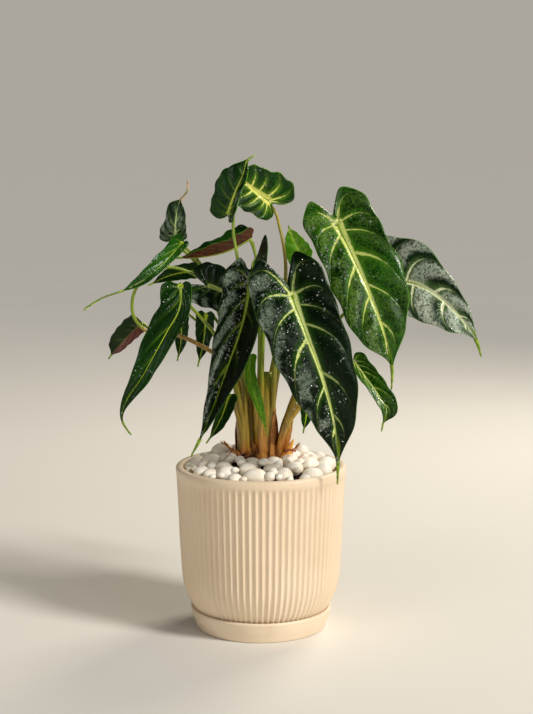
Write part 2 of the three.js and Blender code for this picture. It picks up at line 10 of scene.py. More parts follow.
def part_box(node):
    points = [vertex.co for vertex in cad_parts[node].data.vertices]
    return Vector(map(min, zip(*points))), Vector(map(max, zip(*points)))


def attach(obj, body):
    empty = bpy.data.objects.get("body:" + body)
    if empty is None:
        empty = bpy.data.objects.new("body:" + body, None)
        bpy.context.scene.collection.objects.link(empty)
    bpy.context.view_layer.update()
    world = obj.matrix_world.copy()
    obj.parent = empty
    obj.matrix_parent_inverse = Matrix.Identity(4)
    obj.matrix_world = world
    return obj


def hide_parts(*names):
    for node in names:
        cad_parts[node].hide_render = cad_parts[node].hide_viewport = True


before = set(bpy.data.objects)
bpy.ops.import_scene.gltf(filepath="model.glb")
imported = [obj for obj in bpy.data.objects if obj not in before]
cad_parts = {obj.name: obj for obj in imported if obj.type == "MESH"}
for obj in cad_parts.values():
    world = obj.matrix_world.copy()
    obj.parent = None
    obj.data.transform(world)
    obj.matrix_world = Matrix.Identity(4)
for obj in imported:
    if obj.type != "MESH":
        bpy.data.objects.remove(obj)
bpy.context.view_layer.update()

# A potted alocasia: fluted cream pot and saucer, dark soil, white pebbles, three clumps of
# leaf stalks and twenty arrow-shaped leaves with pale veins. Working sizes are millimetres;
# heights in the leaf table are measured from the pot's rim.

MM = 0.001
BODY = "root"

pot_low, pot_high = (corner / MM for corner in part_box("pot"))
SAUCER_R, _, SAUCER_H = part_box("saucer")[1] / MM
RIM_Z = pot_high.z  # level of the pot's rim
POT_Z = pot_low.z  # underside of the pot
POT_R = pot_high.x
POT_H = RIM_Z - POT_Z
POT_WALL = 6.6
POT_FLOOR = 7
POT_BAND = 7  # plain band under the rim
POT_FOOT_R = 52
POT_GAP = 0.3  # between the saucer's floor and the pot
FLUTES = 81
FLUTE_STEPS = 8  # faces round one flute
FLUTE_DEPTH = 2.0
DRAIN_R = 6
SOIL_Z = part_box("soil")[1].z / MM
TIP_CLEAR = 14  # how far the front leaf's tip hangs outside the rim
STALK_FOOT_Z = -7.5  # where the stalks start in the soil, below the rim
STALK_R = 4.3
STALK_TIP_R = 1.35
TAN_TOP = 122  # height above the rim up to which the left middle stalk is tan
BLADE_T = 0.8
SHEATH_T = 0.5
SLIVER = 2e-3  # faces of a blade smaller than this, in square millimetres, are left out
DRIP_ROOT = 1.5  # how far a drip tip starts inside its blade


# ---- node helpers --------------------------------------------------------

def linear(*rgb):
    """0-255 screen colour as the shader's linear colour."""
    shares = [c / 255 for c in rgb]
    return tuple(s / 12.92 if s <= 0.04045 else ((s + 0.055) / 1.055) ** 2.4 for s in shares) + (1,)


class Finish:
    """One procedural material being put together."""

    def __init__(self, name, **shader):
        self.material = bpy.data.materials.new(name)
        self.material.use_nodes = True
        self.tree = self.material.node_tree
        self.shader = self.tree.nodes["Principled BSDF"]
        for socket, value in shader.items():
            self.shader.inputs[socket.replace("_", " ")].default_value = value
        self.bumps = None

    def node(self, kind, inputs=None, **settings):
        made = self.tree.nodes.new("ShaderNode" + kind)
        for key, value in settings.items():
            setattr(made, key, value)
        for socket, value in (inputs or {}).items():
            self.feed(made.inputs[socket], value)
        return made

    def feed(self, socket, value):
        if isinstance(value, bpy.types.NodeSocket):
            self.tree.links.new(value, socket)
        else:
            socket.default_value = value

    def math(self, operation, a, b=0.0, c=0.0):
        made = self.node("Math", operation=operation)
        for socket, value in zip(made.inputs, (a, b, c)):
            self.feed(socket, value)
        return made.outputs[0]

    def times(self, product, *others):
        for other in others:
            product = self.math("MULTIPLY", product, other)
        return product

    def ramp(self, value, start, end, low=0.0, high=1.0):
        """Smooth change from low to high as value goes from start to end."""
        made = self.node("MapRange", interpolation_type="SMOOTHSTEP")
        for socket, number in zip(made.inputs, (value, start, end, low, high)):
            self.feed(socket, number)
        return made.outputs[0]

    def mix(self, share, a, b):
        made = self.node("Mix", data_type="RGBA")
        for index, value in ((0, share), (6, a), (7, b)):
            self.feed(made.inputs[index], value)
        return made.outputs[2]

    def place(self):
        return self.node("TexCoord").outputs["Object"]

    def noise(self, scale, detail=4.0, rough=0.55, stretch=None):
        where = self.place()
        if stretch:
            where = self.node("Mapping", {"Vector": where, "Scale": stretch}).outputs[0]
        made = self.node("TexNoise", {"Vector": where, "Scale": scale, "Detail": detail, "Roughness": rough})
        return made.outputs["Fac"]

    def cells(self, scale, feature="F1"):
        made = self.node("TexVoronoi", {"Vector": self.place(), "Scale": scale}, feature=feature)
        return made.outputs["Distance"]

    def uv(self, name):
        split = self.node("SeparateXYZ", {"Vector": self.node("UVMap", uv_map=name).outputs[0]})
        return split.outputs[0], split.outputs[1]

    def bump(self, height, distance, strength=1.0):
        inputs = {"Height": height, "Distance": distance, "Strength": strength}
        if self.bumps is not None:
            inputs["Normal"] = self.bumps
        self.bumps = self.node("Bump", inputs).outputs[0]

    def done(self, colour=None, roughness=None):
        if colour is not None:
            self.feed(self.shader.inputs["Base Color"], colour)
        if roughness is not None:
            self.feed(self.shader.inputs["Roughness"], roughness)
        if self.bumps is not None:
            self.feed(self.shader.inputs["Normal"], self.bumps)
        return self.material


# ---- leaf finishes -------------------------------------------------------
# The blade's two UV maps hold: "veins" = (vein number, 0 at the midrib to 1 at the margin and
# negative on the first half), "widths" = (millimetres between veins, millimetres from midrib
# to margin), both over WIDTHS_UNIT and enlarged on small leaves, so that their veins are finer.

LOBE_VEIN = 0.12
VEIN_STEP = 0.15
LEAF_GLOSS = (0.45, 0.8, 0.38, 1)
# pale colour of the painted sheen, standing in for wet reflections on the leaves
PAINTED_SHEEN_TONE = (156, 176, 150)
WIDTHS_UNIT = 100.0


def blade_places(made):
    """Vein number, signed and plain share across, reach, and millimetres from a side vein and the rib."""
    number, signed = made.uv("veins")
    across = made.math("ABSOLUTE", signed)
    pitch, reach = made.uv("widths")
    apart = made.times(made.math("PINGPONG", number, 0.5), pitch, WIDTHS_UNIT)
    return number, signed, across, reach, apart, made.times(across, reach, WIDTHS_UNIT)


def painted_sheen(made, blade, number, half, across, along, mottle, fine, wet,
                share, other_half, inner, low_inner, patchy, stop, pale=PAINTED_SHEEN_TONE):
    """Painted sheen: pale colour in beaded patches between the side veins, from the share inner across
    outwards, lighter on one side of each quilted bulge and mostly on one half, standing in for wet
    reflections; the coat weight raised under it is real gloss.
    """
    cell = made.math("FRACT", made.math("ADD", number, made.math("MULTIPLY_ADD", mottle, 0.6, -0.3)))
    edge = made.math("SUBTRACT", across, made.ramp(along, 0.5, 0.75, inner, low_inner))
    patches = made.times(
        made.ramp(cell, 0.04, 0.2), made.ramp(cell, 0.5, 0.8, 1.0, 0.0),
        made.ramp(fine, 0.34, 0.56, 0.2, 1.0),
        made.ramp(made.noise(60, 4), patchy, patchy + 0.14),
        made.ramp(made.cells(360), 0.14, 0.32, 0.15, 1.0),
        made.ramp(edge, 0.0, 0.28),
        made.ramp(along, stop - 0.12, stop, 1.0, 0.0),
        made.math("MULTIPLY_ADD", half, other_half - 1.0, 1.0))
    made.feed(made.shader.inputs["Coat Weight"], made.math("MULTIPLY_ADD", patches, 0.9, wet))
    return made.mix(made.times(patches, share), blade, linear(*pale))


def leaf_upper(name, deep, mid, glow, vein, laterals=0.8, faint_half=0.8, spread=0.5, wet=0.25, gloss=0.2,
               rib_wide=2.3, hub=15.0, veins_end=0.9, net=0.0, sheen=None, tinge=None, tip=None):
    """The upper side: dark blade, brighter towards the veins, broad pale midrib, thin margin line."""
    made = Finish(name, Coat_Weight=wet, Coat_Roughness=0.1, Specular_IOR_Level=gloss,
                  Specular_Tint=LEAF_GLOSS)
    number, signed, across, reach, apart, from_rib = blade_places(made)
    half = made.ramp(signed, -0.001, 0.001)
    wander = made.math("MULTIPLY_ADD", made.noise(170, 3), 2.4, -1.2)
    apart = made.math("ABSOLUTE", made.math("ADD", apart, wander))
    along = made.math("MULTIPLY_ADD", number, VEIN_STEP, LOBE_VEIN)
    rib_width = made.ramp(along, 0.22, 0.95, rib_wide, rib_wide * 0.42)
    broad = made.noise(32, 3)
    grain = made.noise(480, 5)
    mottle = made.noise(150, 6, 0.65)
    fine = made.noise(330, 5, 0.7)

    blade = made.mix(made.ramp(broad, 0.35, 0.7), linear(*deep), linear(*mid))
    blade = made.mix(made.ramp(grain, 0.4, 0.75, 0.0, 0.3), blade, linear(*mid))
    if tinge:
        blade = made.mix(made.times(half, made.ramp(mottle, 0.25, 0.6, 0.75, 1.0)), blade, linear(*tinge))
    if net:
        waver = made.math("MULTIPLY_ADD", fine, 0.1, -0.05)
        mesh = made.math("ADD", made.cells(230, "DISTANCE_TO_EDGE"), waver)
        blade = made.mix(made.ramp(mesh, 0.0, 0.09, net, 0.0), blade, linear(*glow))
    # faint_half dims the glow and the side veins on the second half: painted shade, for the half turned away
    # from the light
    side_share = made.math("MULTIPLY_ADD", half, faint_half - 1.0, 1.0)
    near = made.times(made.ramp(apart, 0.4, 6.5, 0.8, 0.0), made.ramp(across, 0.4, 0.9, 1.0, 0.15))
    near_rib = made.ramp(from_rib, 1.5, hub, 1.0, 0.0)
    near_rib = made.times(near_rib, near_rib, made.ramp(along, 0.3, 0.75, 1.0, 0.55))
    glowing = made.math("MAXIMUM", made.times(near, side_share), near_rib)
    glowing = made.times(glowing, made.ramp(fine, 0.3, 0.7, 0.5, 1.35), spread)
    blade = made.mix(glowing, blade, linear(*glow))
    # painted sheen: pale patches mixed into the colour in place of wet reflections
    if sheen:
        blade = painted_sheen(made, blade, number, half, across, along, mottle, fine, wet, **sheen)
    thin = made.ramp(across, 0.0, 0.75, 1.15, 0.15)
    lateral = made.times(
        made.ramp(made.math("SUBTRACT", apart, thin), -0.35, 0.6, 1.0, 0.0),
        made.ramp(across, veins_end - 0.5, veins_end, laterals, laterals * 0.12),
        side_share, made.ramp(fine, 0.3, 0.55, 0.7, 1.1))
    rib = made.ramp(made.math("SUBTRACT", from_rib, rib_width), -1.5, 1.0, 0.97, 0.0)
    blade = made.mix(made.math("MAXIMUM", lateral, rib), blade, linear(*vein))
    blade = made.mix(made.ramp(from_rib, 0.15, 0.7, 0.35, 0.0), blade, linear(*glow))
    from_margin = made.times(made.math("SUBTRACT", 1.0, across), made.times(reach, WIDTHS_UNIT))
    blade = made.mix(made.ramp(from_margin, 0.2, 0.9, 0.7, 0.0), blade, linear(*glow))
    blade = made.mix(made.ramp(along, 0.92, 0.985, 0.0, 0.95), blade, linear(*(tip or vein)))

    wet_patch = made.ramp(made.noise(48, 2), 0.44, 0.54)
    beads = made.times(made.ramp(made.cells(300), 0.14, 0.34, 1.0, 0.0), wet_patch)
    made.bump(beads, 0.0007, 1.0)
    made.bump(grain, 0.0002, 0.5)
    made.bump(mottle, 0.0007, 0.5)
    made.bump(made.ramp(apart, 0.0, 2.0, 0.0, 1.0), 0.0005, 0.7)
    made.feed(made.shader.inputs["Coat Normal"], made.bumps)
    rough = made.ramp(grain, 0.3, 0.7, 0.3, 0.46)
    return made.done(blade, made.times(rough, made.math("MULTIPLY_ADD", beads, -0.7, 1.0)))


def leaf_under(name, skin, blush, vein):
    made = Finish(name, Specular_IOR_Level=0.18)
    _, _, _, _, apart, from_rib = blade_places(made)
    grain = made.noise(300, 5)
    blade = made.mix(made.ramp(made.noise(45, 3), 0.3, 0.7), linear(*skin), linear(*blush))
    blade = made.mix(made.ramp(grain, 0.4, 0.7, 0.0, 0.3), blade, linear(*vein))
    lateral = made.ramp(apart, 0.2, 1.4, 0.4, 0.0)
    rib = made.ramp(from_rib, 0.8, 2.4, 0.85, 0.0)
    blade = made.mix(made.math("MAXIMUM", lateral, rib), blade, linear(*vein))
    made.bump(made.ramp(apart, 0.0, 1.4, 1.0, 0.0), 0.0006, 0.8)
    made.bump(grain, 0.0002, 0.4)
    return made.done(blade, made.ramp(grain, 0.3, 0.7, 0.42, 0.58))


UPPER_FINISHES = {
    "dark": dict(
        deep=(1, 6, 1), mid=(3, 18, 3), glow=(58, 104, 24), vein=(208, 220, 132), laterals=0.95,
        faint_half=0.34, spread=0.6, wet=0.2, gloss=0.08, rib_wide=4.4, hub=15, tip=(140, 168, 40),
        sheen=dict(share=0.38, other_half=0.05, inner=0.42, low_inner=0.05, patchy=0.38, stop=0.98)),
    "dark_gloss": dict(
        deep=(1, 6, 1), mid=(3, 18, 3), glow=(46, 90, 18), vein=(172, 192, 66), laterals=0.35,
        faint_half=0.35, spread=0.45, wet=0.22, gloss=0.08, rib_wide=3.6, hub=10, tip=(130, 168, 34),
        sheen=dict(share=0.6, other_half=0.0, inner=0.3, low_inner=0.5, patchy=0.34, stop=0.85)),
    "green": dict(
        deep=(4, 26, 2), mid=(20, 64, 4), glow=(88, 144, 28), vein=(218, 226, 126), laterals=0.95,
        faint_half=0.6, spread=0.75, wet=0.25, gloss=0.14, rib_wide=5.4, hub=15, net=0.25,
        tip=(150, 190, 40),
        sheen=dict(share=0.42, other_half=0.25, inner=0.0, low_inner=-0.1, patchy=0.38, stop=0.98,
                   pale=(130, 174, 72))),
    # its pale banded look is painted sheen: bands on the lit side of each quilted bulge, standing in for
    # light
    "heavy_painted_sheen": dict(
        deep=(3, 18, 5), mid=(10, 38, 11), glow=(112, 146, 84), vein=(228, 234, 188), laterals=1.0,
        faint_half=0.9, spread=0.7, wet=0.35, gloss=0.14, rib_wide=4.2, tip=(140, 168, 50),
        sheen=dict(share=0.8, other_half=0.7, inner=-0.2, low_inner=-0.2, patchy=0.3, stop=1.0,
                   pale=(206, 218, 196))),
    "light": dict(
        deep=(6, 34, 3), mid=(18, 62, 6), glow=(112, 160, 32), vein=(232, 232, 120), laterals=1.0,
        faint_half=0.95, spread=0.75, gloss=0.14, rib_wide=5.6, hub=18, veins_end=0.8),
    "upright": dict(
        deep=(4, 28, 3), mid=(14, 54, 6), glow=(92, 150, 30), vein=(206, 218, 88), laterals=0.4,
        faint_half=0.4, spread=0.5, wet=0.3, gloss=0.14, rib_wide=4.6, veins_end=0.65,
        sheen=dict(share=0.5, other_half=0.0, inner=0.2, low_inner=0.2, patchy=0.36, stop=0.6)),
    # painted light: this bright yellow-green stands in for light shining through these leaves from behind
    "bright": dict(
        deep=(62, 120, 10), mid=(94, 152, 20), glow=(140, 186, 48), vein=(182, 206, 84), laterals=0.4,
        faint_half=0.4, spread=0.6, rib_wide=2.0),
    "plain": dict(
        deep=(5, 30, 2), mid=(17, 54, 4), glow=(66, 118, 18), vein=(176, 200, 52), laterals=0.18,
        faint_half=0.18, spread=0.25, wet=0.2, gloss=0.12, rib_wide=6.4, hub=11, veins_end=0.7,
        tip=(160, 186, 46)),
    "long": dict(
        deep=(10, 46, 3), mid=(34, 84, 8), glow=(84, 140, 22), vein=(182, 204, 62), laterals=0.2,
        faint_half=0.2, spread=0.3, wet=0.2, gloss=0.12, rib_wide=5.6, hub=11, veins_end=0.7,
        tip=(172, 192, 50)),
    "plain_dark": dict(
        deep=(1, 9, 2), mid=(4, 20, 4), glow=(58, 96, 30), vein=(186, 202, 112), laterals=0.28,
        faint_half=0.25, spread=0.5, wet=0.25, gloss=0.1, rib_wide=4.0, hub=16, veins_end=0.55,
        sheen=dict(share=0.6, other_half=0.0, inner=0.45, low_inner=0.45, patchy=0.36, stop=0.8)),
    "small_dark": dict(
        deep=(2, 10, 3), mid=(8, 30, 7), glow=(100, 136, 78), vein=(208, 220, 158), laterals=0.6,
        faint_half=0.7, spread=0.75, wet=0.3, gloss=0.1, rib_wide=4.0, hub=16, veins_end=0.6,
        sheen=dict(share=0.35, other_half=1.0, inner=0.1, low_inner=0.5, patchy=0.36, stop=0.6)),
    "maroon": dict(
        deep=(8, 26, 6), mid=(20, 42, 10), glow=(74, 82, 36), vein=(120, 104, 62), laterals=0.3,
        faint_half=0.3, spread=0.3, gloss=0.14, rib_wide=1.8, tinge=(98, 48, 42)),
}
UPPER = {name: leaf_upper(f"leaf_{name}_upper", **finish) for name, finish in UPPER_FINISHES.items()}
UNDER = {
    "green": leaf_under("leaf_green_under", (58, 84, 40), (74, 92, 50), (140, 150, 84)),
    "maroon": leaf_under("leaf_maroon_under", (58, 24, 14), (84, 42, 20), (122, 84, 42)),
    "light": leaf_under("leaf_light_under", (104, 146, 46), (122, 158, 60), (178, 196, 104)),
}


# ---- other finishes ------------------------------------------------------

def ceramic():
    made = Finish("cream_ceramic", Specular_IOR_Level=0.45, Coat_Weight=0.12, Coat_Roughness=0.35)
    broad = made.noise(9, 3)
    streak = made.noise(30, 4, 0.6, (1.0, 1.0, 0.12))
    speck = made.cells(420)
    colour = made.mix(made.ramp(broad, 0.35, 0.7), linear(232, 210, 180), linear(239, 220, 193))
    colour = made.mix(made.ramp(streak, 0.4, 0.75, 0.0, 0.35), colour, linear(221, 196, 164))
    colour = made.mix(made.ramp(speck, 0.0, 0.1, 0.22, 0.0), colour, linear(176, 146, 108))
    grain = made.noise(900, 4)
    made.bump(grain, 0.00012, 0.5)
    made.bump(broad, 0.0006, 0.25)
    return made.done(colour, made.ramp(grain, 0.3, 0.7, 0.42, 0.55))


def white_stone():
    made = Finish("white_stone", Specular_IOR_Level=0.45, Subsurface_Weight=0.08)
    made.shader.inputs["Subsurface Radius"].default_value = (0.004, 0.003, 0.002)
    cloud = made.noise(70, 5, 0.6)
    tint = made.noise(28, 2)
    colour = made.mix(made.ramp(cloud, 0.35, 0.7), linear(244, 234, 216), linear(252, 246, 236))
    colour = made.mix(made.ramp(tint, 0.48, 0.7, 0.0, 0.5), colour, linear(222, 205, 178))
    streak = made.noise(150, 6, 0.7, (1.0, 0.4, 1.4))
    colour = made.mix(made.ramp(streak, 0.6, 0.72, 0.0, 0.25), colour, linear(188, 176, 158))
    pits = made.noise(900, 5, 0.6)
    made.bump(cloud, 0.0012, 0.35)
    made.bump(pits, 0.00025, 0.5)
    return made.done(colour, made.ramp(pits, 0.3, 0.7, 0.36, 0.58))


def dark_soil():
    made = Finish("dark_soil", Specular_IOR_Level=0.25)
    clods = made.noise(260, 8, 0.7)
    colour = made.mix(made.ramp(clods, 0.35, 0.65), linear(30, 16, 9), linear(78, 48, 28))
    colour = made.mix(made.ramp(made.cells(380), 0.0, 0.16, 0.5, 0.0), colour, linear(112, 84, 56))
    made.bump(clods, 0.003, 0.9)
    made.bump(made.cells(500), 0.001, 0.7)
    return made.done(colour, made.ramp(clods, 0.3, 0.7, 0.8, 0.98))


def stalk_skin(name, green, ripe):
    """Yellow-green above, turning orange-brown where the stalk meets the soil."""
    made = Finish(name, Specular_IOR_Level=0.45, Coat_Weight=0.25, Coat_Roughness=0.25)
    height = made.node("SeparateXYZ", {"Vector": made.place()}).outputs[2]
    waver = made.math("MULTIPLY_ADD", made.noise(45, 3), 0.09, -0.045)
    level = made.math("ADD", height, waver)
    fibre = made.noise(420, 5, 0.6, (1.0, 1.0, 0.08))
    rim = RIM_Z * MM
    upper = made.mix(made.ramp(fibre, 0.3, 0.75), linear(*green), linear(*ripe))
    middle = made.mix(made.ramp(fibre, 0.3, 0.75), linear(132, 112, 24), linear(182, 152, 54))
    foot = made.mix(made.ramp(fibre, 0.25, 0.75), linear(150, 84, 20), linear(204, 142, 56))
    colour = made.mix(made.ramp(level, rim + 0.045, rim + 0.105), middle, upper)
    colour = made.mix(made.ramp(level, rim + 0.006, rim + 0.045, 1.0, 0.0), colour, foot)
    near_soil = made.ramp(level, rim - 0.01, rim + 0.012, 0.9, 0.0)
    soiled = made.times(near_soil, made.ramp(fibre, 0.35, 0.6))
    colour = made.mix(soiled, colour, linear(48, 26, 14))
    spots = made.ramp(made.cells(330), 0.1, 0.3, 0.5, 0.0)
    spots = made.times(spots, made.ramp(made.noise(90), 0.5, 0.62))
    colour = made.mix(spots, colour, linear(108, 66, 26))
    made.bump(fibre, 0.0004, 0.5)
    return made.done(colour, made.ramp(fibre, 0.3, 0.7, 0.34, 0.5))


def dry_sheath():
    made = Finish("dry_sheath", Specular_IOR_Level=0.3)
    fibre = made.noise(380, 6, 0.65, (1.0, 1.0, 0.1))
    blotch = made.noise(110, 4)
    colour = made.mix(made.ramp(fibre, 0.3, 0.7), linear(132, 74, 30), linear(206, 146, 76))
    colour = made.mix(made.ramp(blotch, 0.5, 0.66, 0.0, 0.75), colour, linear(62, 32, 16))
    made.bump(fibre, 0.0008, 0.9)
    return made.done(colour, made.ramp(fibre, 0.3, 0.7, 0.55, 0.8))


def bud_skin():
    made = Finish("bud_skin", Specular_IOR_Level=0.45, Coat_Weight=0.2, Coat_Roughness=0.3)
    fibre = made.noise(400, 5, 0.6, (1.0, 1.0, 0.1))
    blotch = made.noise(150, 4)
    colour = made.mix(made.ramp(fibre, 0.3, 0.7), linear(206, 128, 30), linear(236, 178, 70))
    colour = made.mix(made.ramp(blotch, 0.54, 0.66, 0.0, 0.8), colour, linear(138, 66, 20))
    made.bump(fibre, 0.0006, 0.7)
    return made.done(colour, 0.45)


def dry_root():
    made = Finish("dry_root", Specular_IOR_Level=0.35)
    grain = made.noise(500, 6, 0.65)
    colour = made.mix(made.ramp(grain, 0.3, 0.7), linear(104, 44, 28), linear(178, 98, 66))
    made.bump(grain, 0.0006, 0.8)
    return made.done(colour, made.ramp(grain, 0.3, 0.7, 0.5, 0.75))


def dew():
    # Partly painted highlight: transmission below one leaves the drops a white diffuse share, so that they
    # read as bright specks.
    made = Finish("dew", Roughness=0.04, IOR=1.33, Transmission_Weight=0.75, Specular_IOR_Level=0.9)
    made.bump(made.noise(700, 2), 0.00005, 0.3)
    return made.done(linear(238, 244, 238))


def drip_skin(name, deep, pale):
    made = Finish(name, Specular_IOR_Level=0.3)
    grain = made.noise(260, 5, 0.6)
    made.bump(grain, 0.0003, 0.5)
    return made.done(made.mix(made.ramp(grain, 0.3, 0.7), linear(*deep), linear(*pale)), 0.45)


CERAMIC = ceramic()
DRIP_GREEN = drip_skin("drip_green", (84, 118, 20), (156, 180, 44))
DRIP_DRY = drip_skin("drip_dry", (158, 100, 66), (222, 170, 132))
STONE = white_stone()
EARTH = dark_soil()
STALK = stalk_skin("stalk_skin", (104, 132, 18), (150, 168, 40))
GOLD_STALK = stalk_skin("gold_stalk_skin", (134, 130, 18), (182, 162, 44))
TAN_STALK = stalk_skin("tan_stalk_skin", (128, 96, 26), (172, 132, 48))
SHEATH = dry_sheath()
BUD = bud_skin()
ROOT = dry_root()
DEW = dew()


# ---- mesh helpers --------------------------------------------------------

def make_piece(name, bm, materials, replaces=(), smooth=True):
    """Turns a bmesh in millimetres into a finished piece that rides on the body."""
    bmesh.ops.scale(bm, vec=(MM, MM, MM), verts=bm.verts)
    mesh = bpy.data.meshes.new(name)
    bm.to_mesh(mesh)
    bm.free()
    mesh.polygons.foreach_set("use_smooth", [smooth] * len(mesh.polygons))
    made = bpy.data.objects.new(name, mesh)
    bpy.context.scene.collection.objects.link(made)
    for material in materials:
        mesh.materials.append(material)
    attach(made, BODY)
    if replaces:
        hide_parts(*replaces)
    return made


def add_small(bm, small):
    """Adds a small bmesh to a large one and frees it."""
    scratch = bpy.data.meshes.new("scratch")
    small.to_mesh(scratch)
    small.free()
    bm.from_mesh(scratch)
    bpy.data.meshes.remove(scratch)


def spline(points, count):
    """Points spread evenly along a smooth curve through the given ones."""
    p = np.asarray(points, float)
    knots = np.r_[0, np.cumsum(np.linalg.norm(np.diff(p, axis=0), axis=1))]
    step = np.diff(knots)[:, None]
    slope = np.diff(p, axis=0) / step
    tangent = np.empty_like(p)
    tangent[1:-1] = (slope[:-1] * step[1:] + slope[1:] * step[:-1]) / (step[1:] + step[:-1])
    tangent[0] = 1.5 * slope[0] - 0.5 * tangent[1]
    tangent[-1] = 1.5 * slope[-1] - 0.5 * tangent[-2]
    t = np.linspace(0, knots[-1], 12 * len(p) + 40)
    i = np.clip(np.searchsorted(knots, t, side="right") - 1, 0, len(p) - 2)
    h = (knots[i + 1] - knots[i])[:, None]
    q = (t - knots[i])[:, None] / h
    curve = ((2 * q**3 - 3 * q**2 + 1) * p[i] + (q**3 - 2 * q**2 + q) * h * tangent[i]
             + (3 * q**2 - 2 * q**3) * p[i + 1] + (q**3 - q**2) * h * tangent[i + 1])
    run = np.r_[0, np.cumsum(np.linalg.norm(np.diff(curve, axis=0), axis=1))]
    even = np.linspace(0, run[-1], count)
    return np.stack([np.interp(even, run, curve[:, k]) for k in range(p.shape[1])], 1)


def unit(v):
    v = np.asarray(v, float)
    return v / np.linalg.norm(v, axis=-1, keepdims=True)


def frames_along(path):
    """Tangents and two side directions that don't twist along a path."""
    tangents = unit(np.gradient(path, axis=0))
    side = np.cross(tangents[0], (0.0, 1.0, 0.0))
    if np.linalg.norm(side) < 0.1:
        side = np.cross(tangents[0], (1.0, 0.0, 0.0))
    sides = []
    for tangent in tangents:
        side = unit(side - tangent * (side @ tangent))
        sides.append(side)
    sides = np.array(sides)
    return tangents, sides, np.cross(tangents, sides)


def add_tube(bm, points, radius, sides=12, steps=40, squash=1.0, knobs=0.0, seed=0):
    """Closed tube along a smooth path; radius(share along) gives its radius."""
    path = spline(points, steps + 1)
    _, across, out = frames_along(path)
    grid = bmesh.ops.create_grid(bm, x_segments=steps, y_segments=sides, size=1)["verts"]
    for vert in grid:
        row = round((vert.co.x + 1) / 2 * steps)
        turn = (vert.co.y + 1) * math.pi
        r = radius(row / steps)
        if knobs:
            wrap = Vector((math.cos(turn) * 1.3, math.sin(turn) * 1.3, row * 0.35 + seed))
            r *= 1 + knobs * noise.noise(wrap)
        vert.co = path[row] + across[row] * r * math.cos(turn) + out[row] * r * squash * math.sin(turn)
    bmesh.ops.remove_doubles(bm, verts=grid, dist=1e-4)
    grid = [v for v in grid if v.is_valid]
    open_edges = list({e for v in grid for e in v.link_edges if e.is_boundary})
    bmesh.ops.holes_fill(bm, edges=open_edges, sides=0)
    faces = list({f for v in grid for f in v.link_faces})
    bmesh.ops.recalc_face_normals(bm, faces=faces)


# ---- pot and saucer ------------------------------------------------------

def turn_profile(profile, steps):
    """Closed ring turned from a loop of (radius, height) points."""
    bm = bmesh.new()
    loop = [bm.verts.new((r, 0, z)) for r, z in profile]
    edges = [bm.edges.new((a, b)) for a, b in zip(loop, loop[1:] + loop[:1])]
    bmesh.ops.spin(bm, geom=loop + edges, axis=(0, 0, 1), cent=(0, 0, 0),
                   steps=steps, angle=2 * math.pi, use_merge=True, use_duplicate=False)
    bmesh.ops.remove_doubles(bm, verts=bm.verts, dist=1e-4)
    bmesh.ops.recalc_face_normals(bm, faces=bm.faces)
    return bm


def rounded(corner_a, corner, corner_b, steps=5):
    """Quadratic round between two points past a corner."""
    a, c, b = (np.asarray(p, float) for p in (corner_a, corner, corner_b))
    return [tuple((1 - t) ** 2 * a + 2 * t * (1 - t) * c + t * t * b) for t in np.linspace(0, 1, steps)]


def smooth_shares(value, start, end):
    t = np.clip((value - start) / (end - start), 0, 1)
    return t * t * (3 - 2 * t)


def pot():
    side = [(POT_FOOT_R + 1.6, 1.4), (POT_R - 20.2, 5), (POT_R - 17.0, 12), (POT_R - 11.4, 22),
            (POT_R - 7.0, 34), (POT_R - 3.9, 63), (POT_R - 2.2, 100), (POT_R - 0.6, POT_H - POT_BAND - 2)]
    outer = [tuple(p) for p in spline(side, 52)]
    cavity = POT_R - POT_WALL
    profile = rounded((POT_FOOT_R - 3, 0), (POT_FOOT_R, 0), side[0]) + outer[1:]
    profile += [(POT_R - 0.1, POT_H - POT_BAND), (POT_R, POT_H - 5)]
    profile += rounded((POT_R, POT_H - 3.2), (POT_R, POT_H), (POT_R - 3.2, POT_H), 7)
    profile += rounded((cavity + 3, POT_H), (cavity, POT_H), (cavity, POT_H - 3.2), 7)
    inside = [(cavity, POT_H - 12), (POT_R - POT_WALL - 4.5, 60), (POT_R - POT_WALL - 16, 26),
              (POT_FOOT_R - 8, POT_FLOOR + 2)]
    profile += [tuple(p) for p in spline(inside, 14)]
    profile += rounded((POT_FOOT_R - 9, POT_FLOOR + 1), (POT_FOOT_R - 11, POT_FLOOR),
                       (POT_FOOT_R - 14, POT_FLOOR))
    profile += rounded((DRAIN_R + 1, POT_FLOOR), (DRAIN_R, POT_FLOOR), (DRAIN_R, POT_FLOOR - 1), 3)
    profile += rounded((DRAIN_R, 1), (DRAIN_R, 0), (DRAIN_R + 1, 0), 3)
    bm = turn_profile(profile, FLUTES * FLUTE_STEPS)
    for vert in bm.verts:
        x, y, h = vert.co
        r = math.hypot(x, y)
        if h < POT_H - POT_BAND + 1 and r > POT_FOOT_R + 0.2:
            fade = smooth_shares(h, 0.5, 4) * (1 - smooth_shares(h, POT_H - POT_BAND - 5, POT_H - POT_BAND))
            outside = h < POT_FLOOR or r > POT_FOOT_R + 14 - (36 - min(h, 36)) * 0.34
            inner_face = [POT_FOOT_R - 4, POT_R - 21, POT_R - 9.5, POT_R - 5]
            inner_side = r < np.interp(h, [0, 26, 60, POT_H], inner_face)
            if outside and not inner_side:
                wave = 0.5 - 0.5 * math.cos(FLUTES * math.atan2(y, x))
                k = (r - FLUTE_DEPTH * fade * wave**0.62) / r
                vert.co.x, vert.co.y = x * k, y * k
    bmesh.ops.translate(bm, vec=(0, 0, POT_Z), verts=bm.verts)
    make_piece("fluted_pot", bm, [CERAMIC], ["pot"])


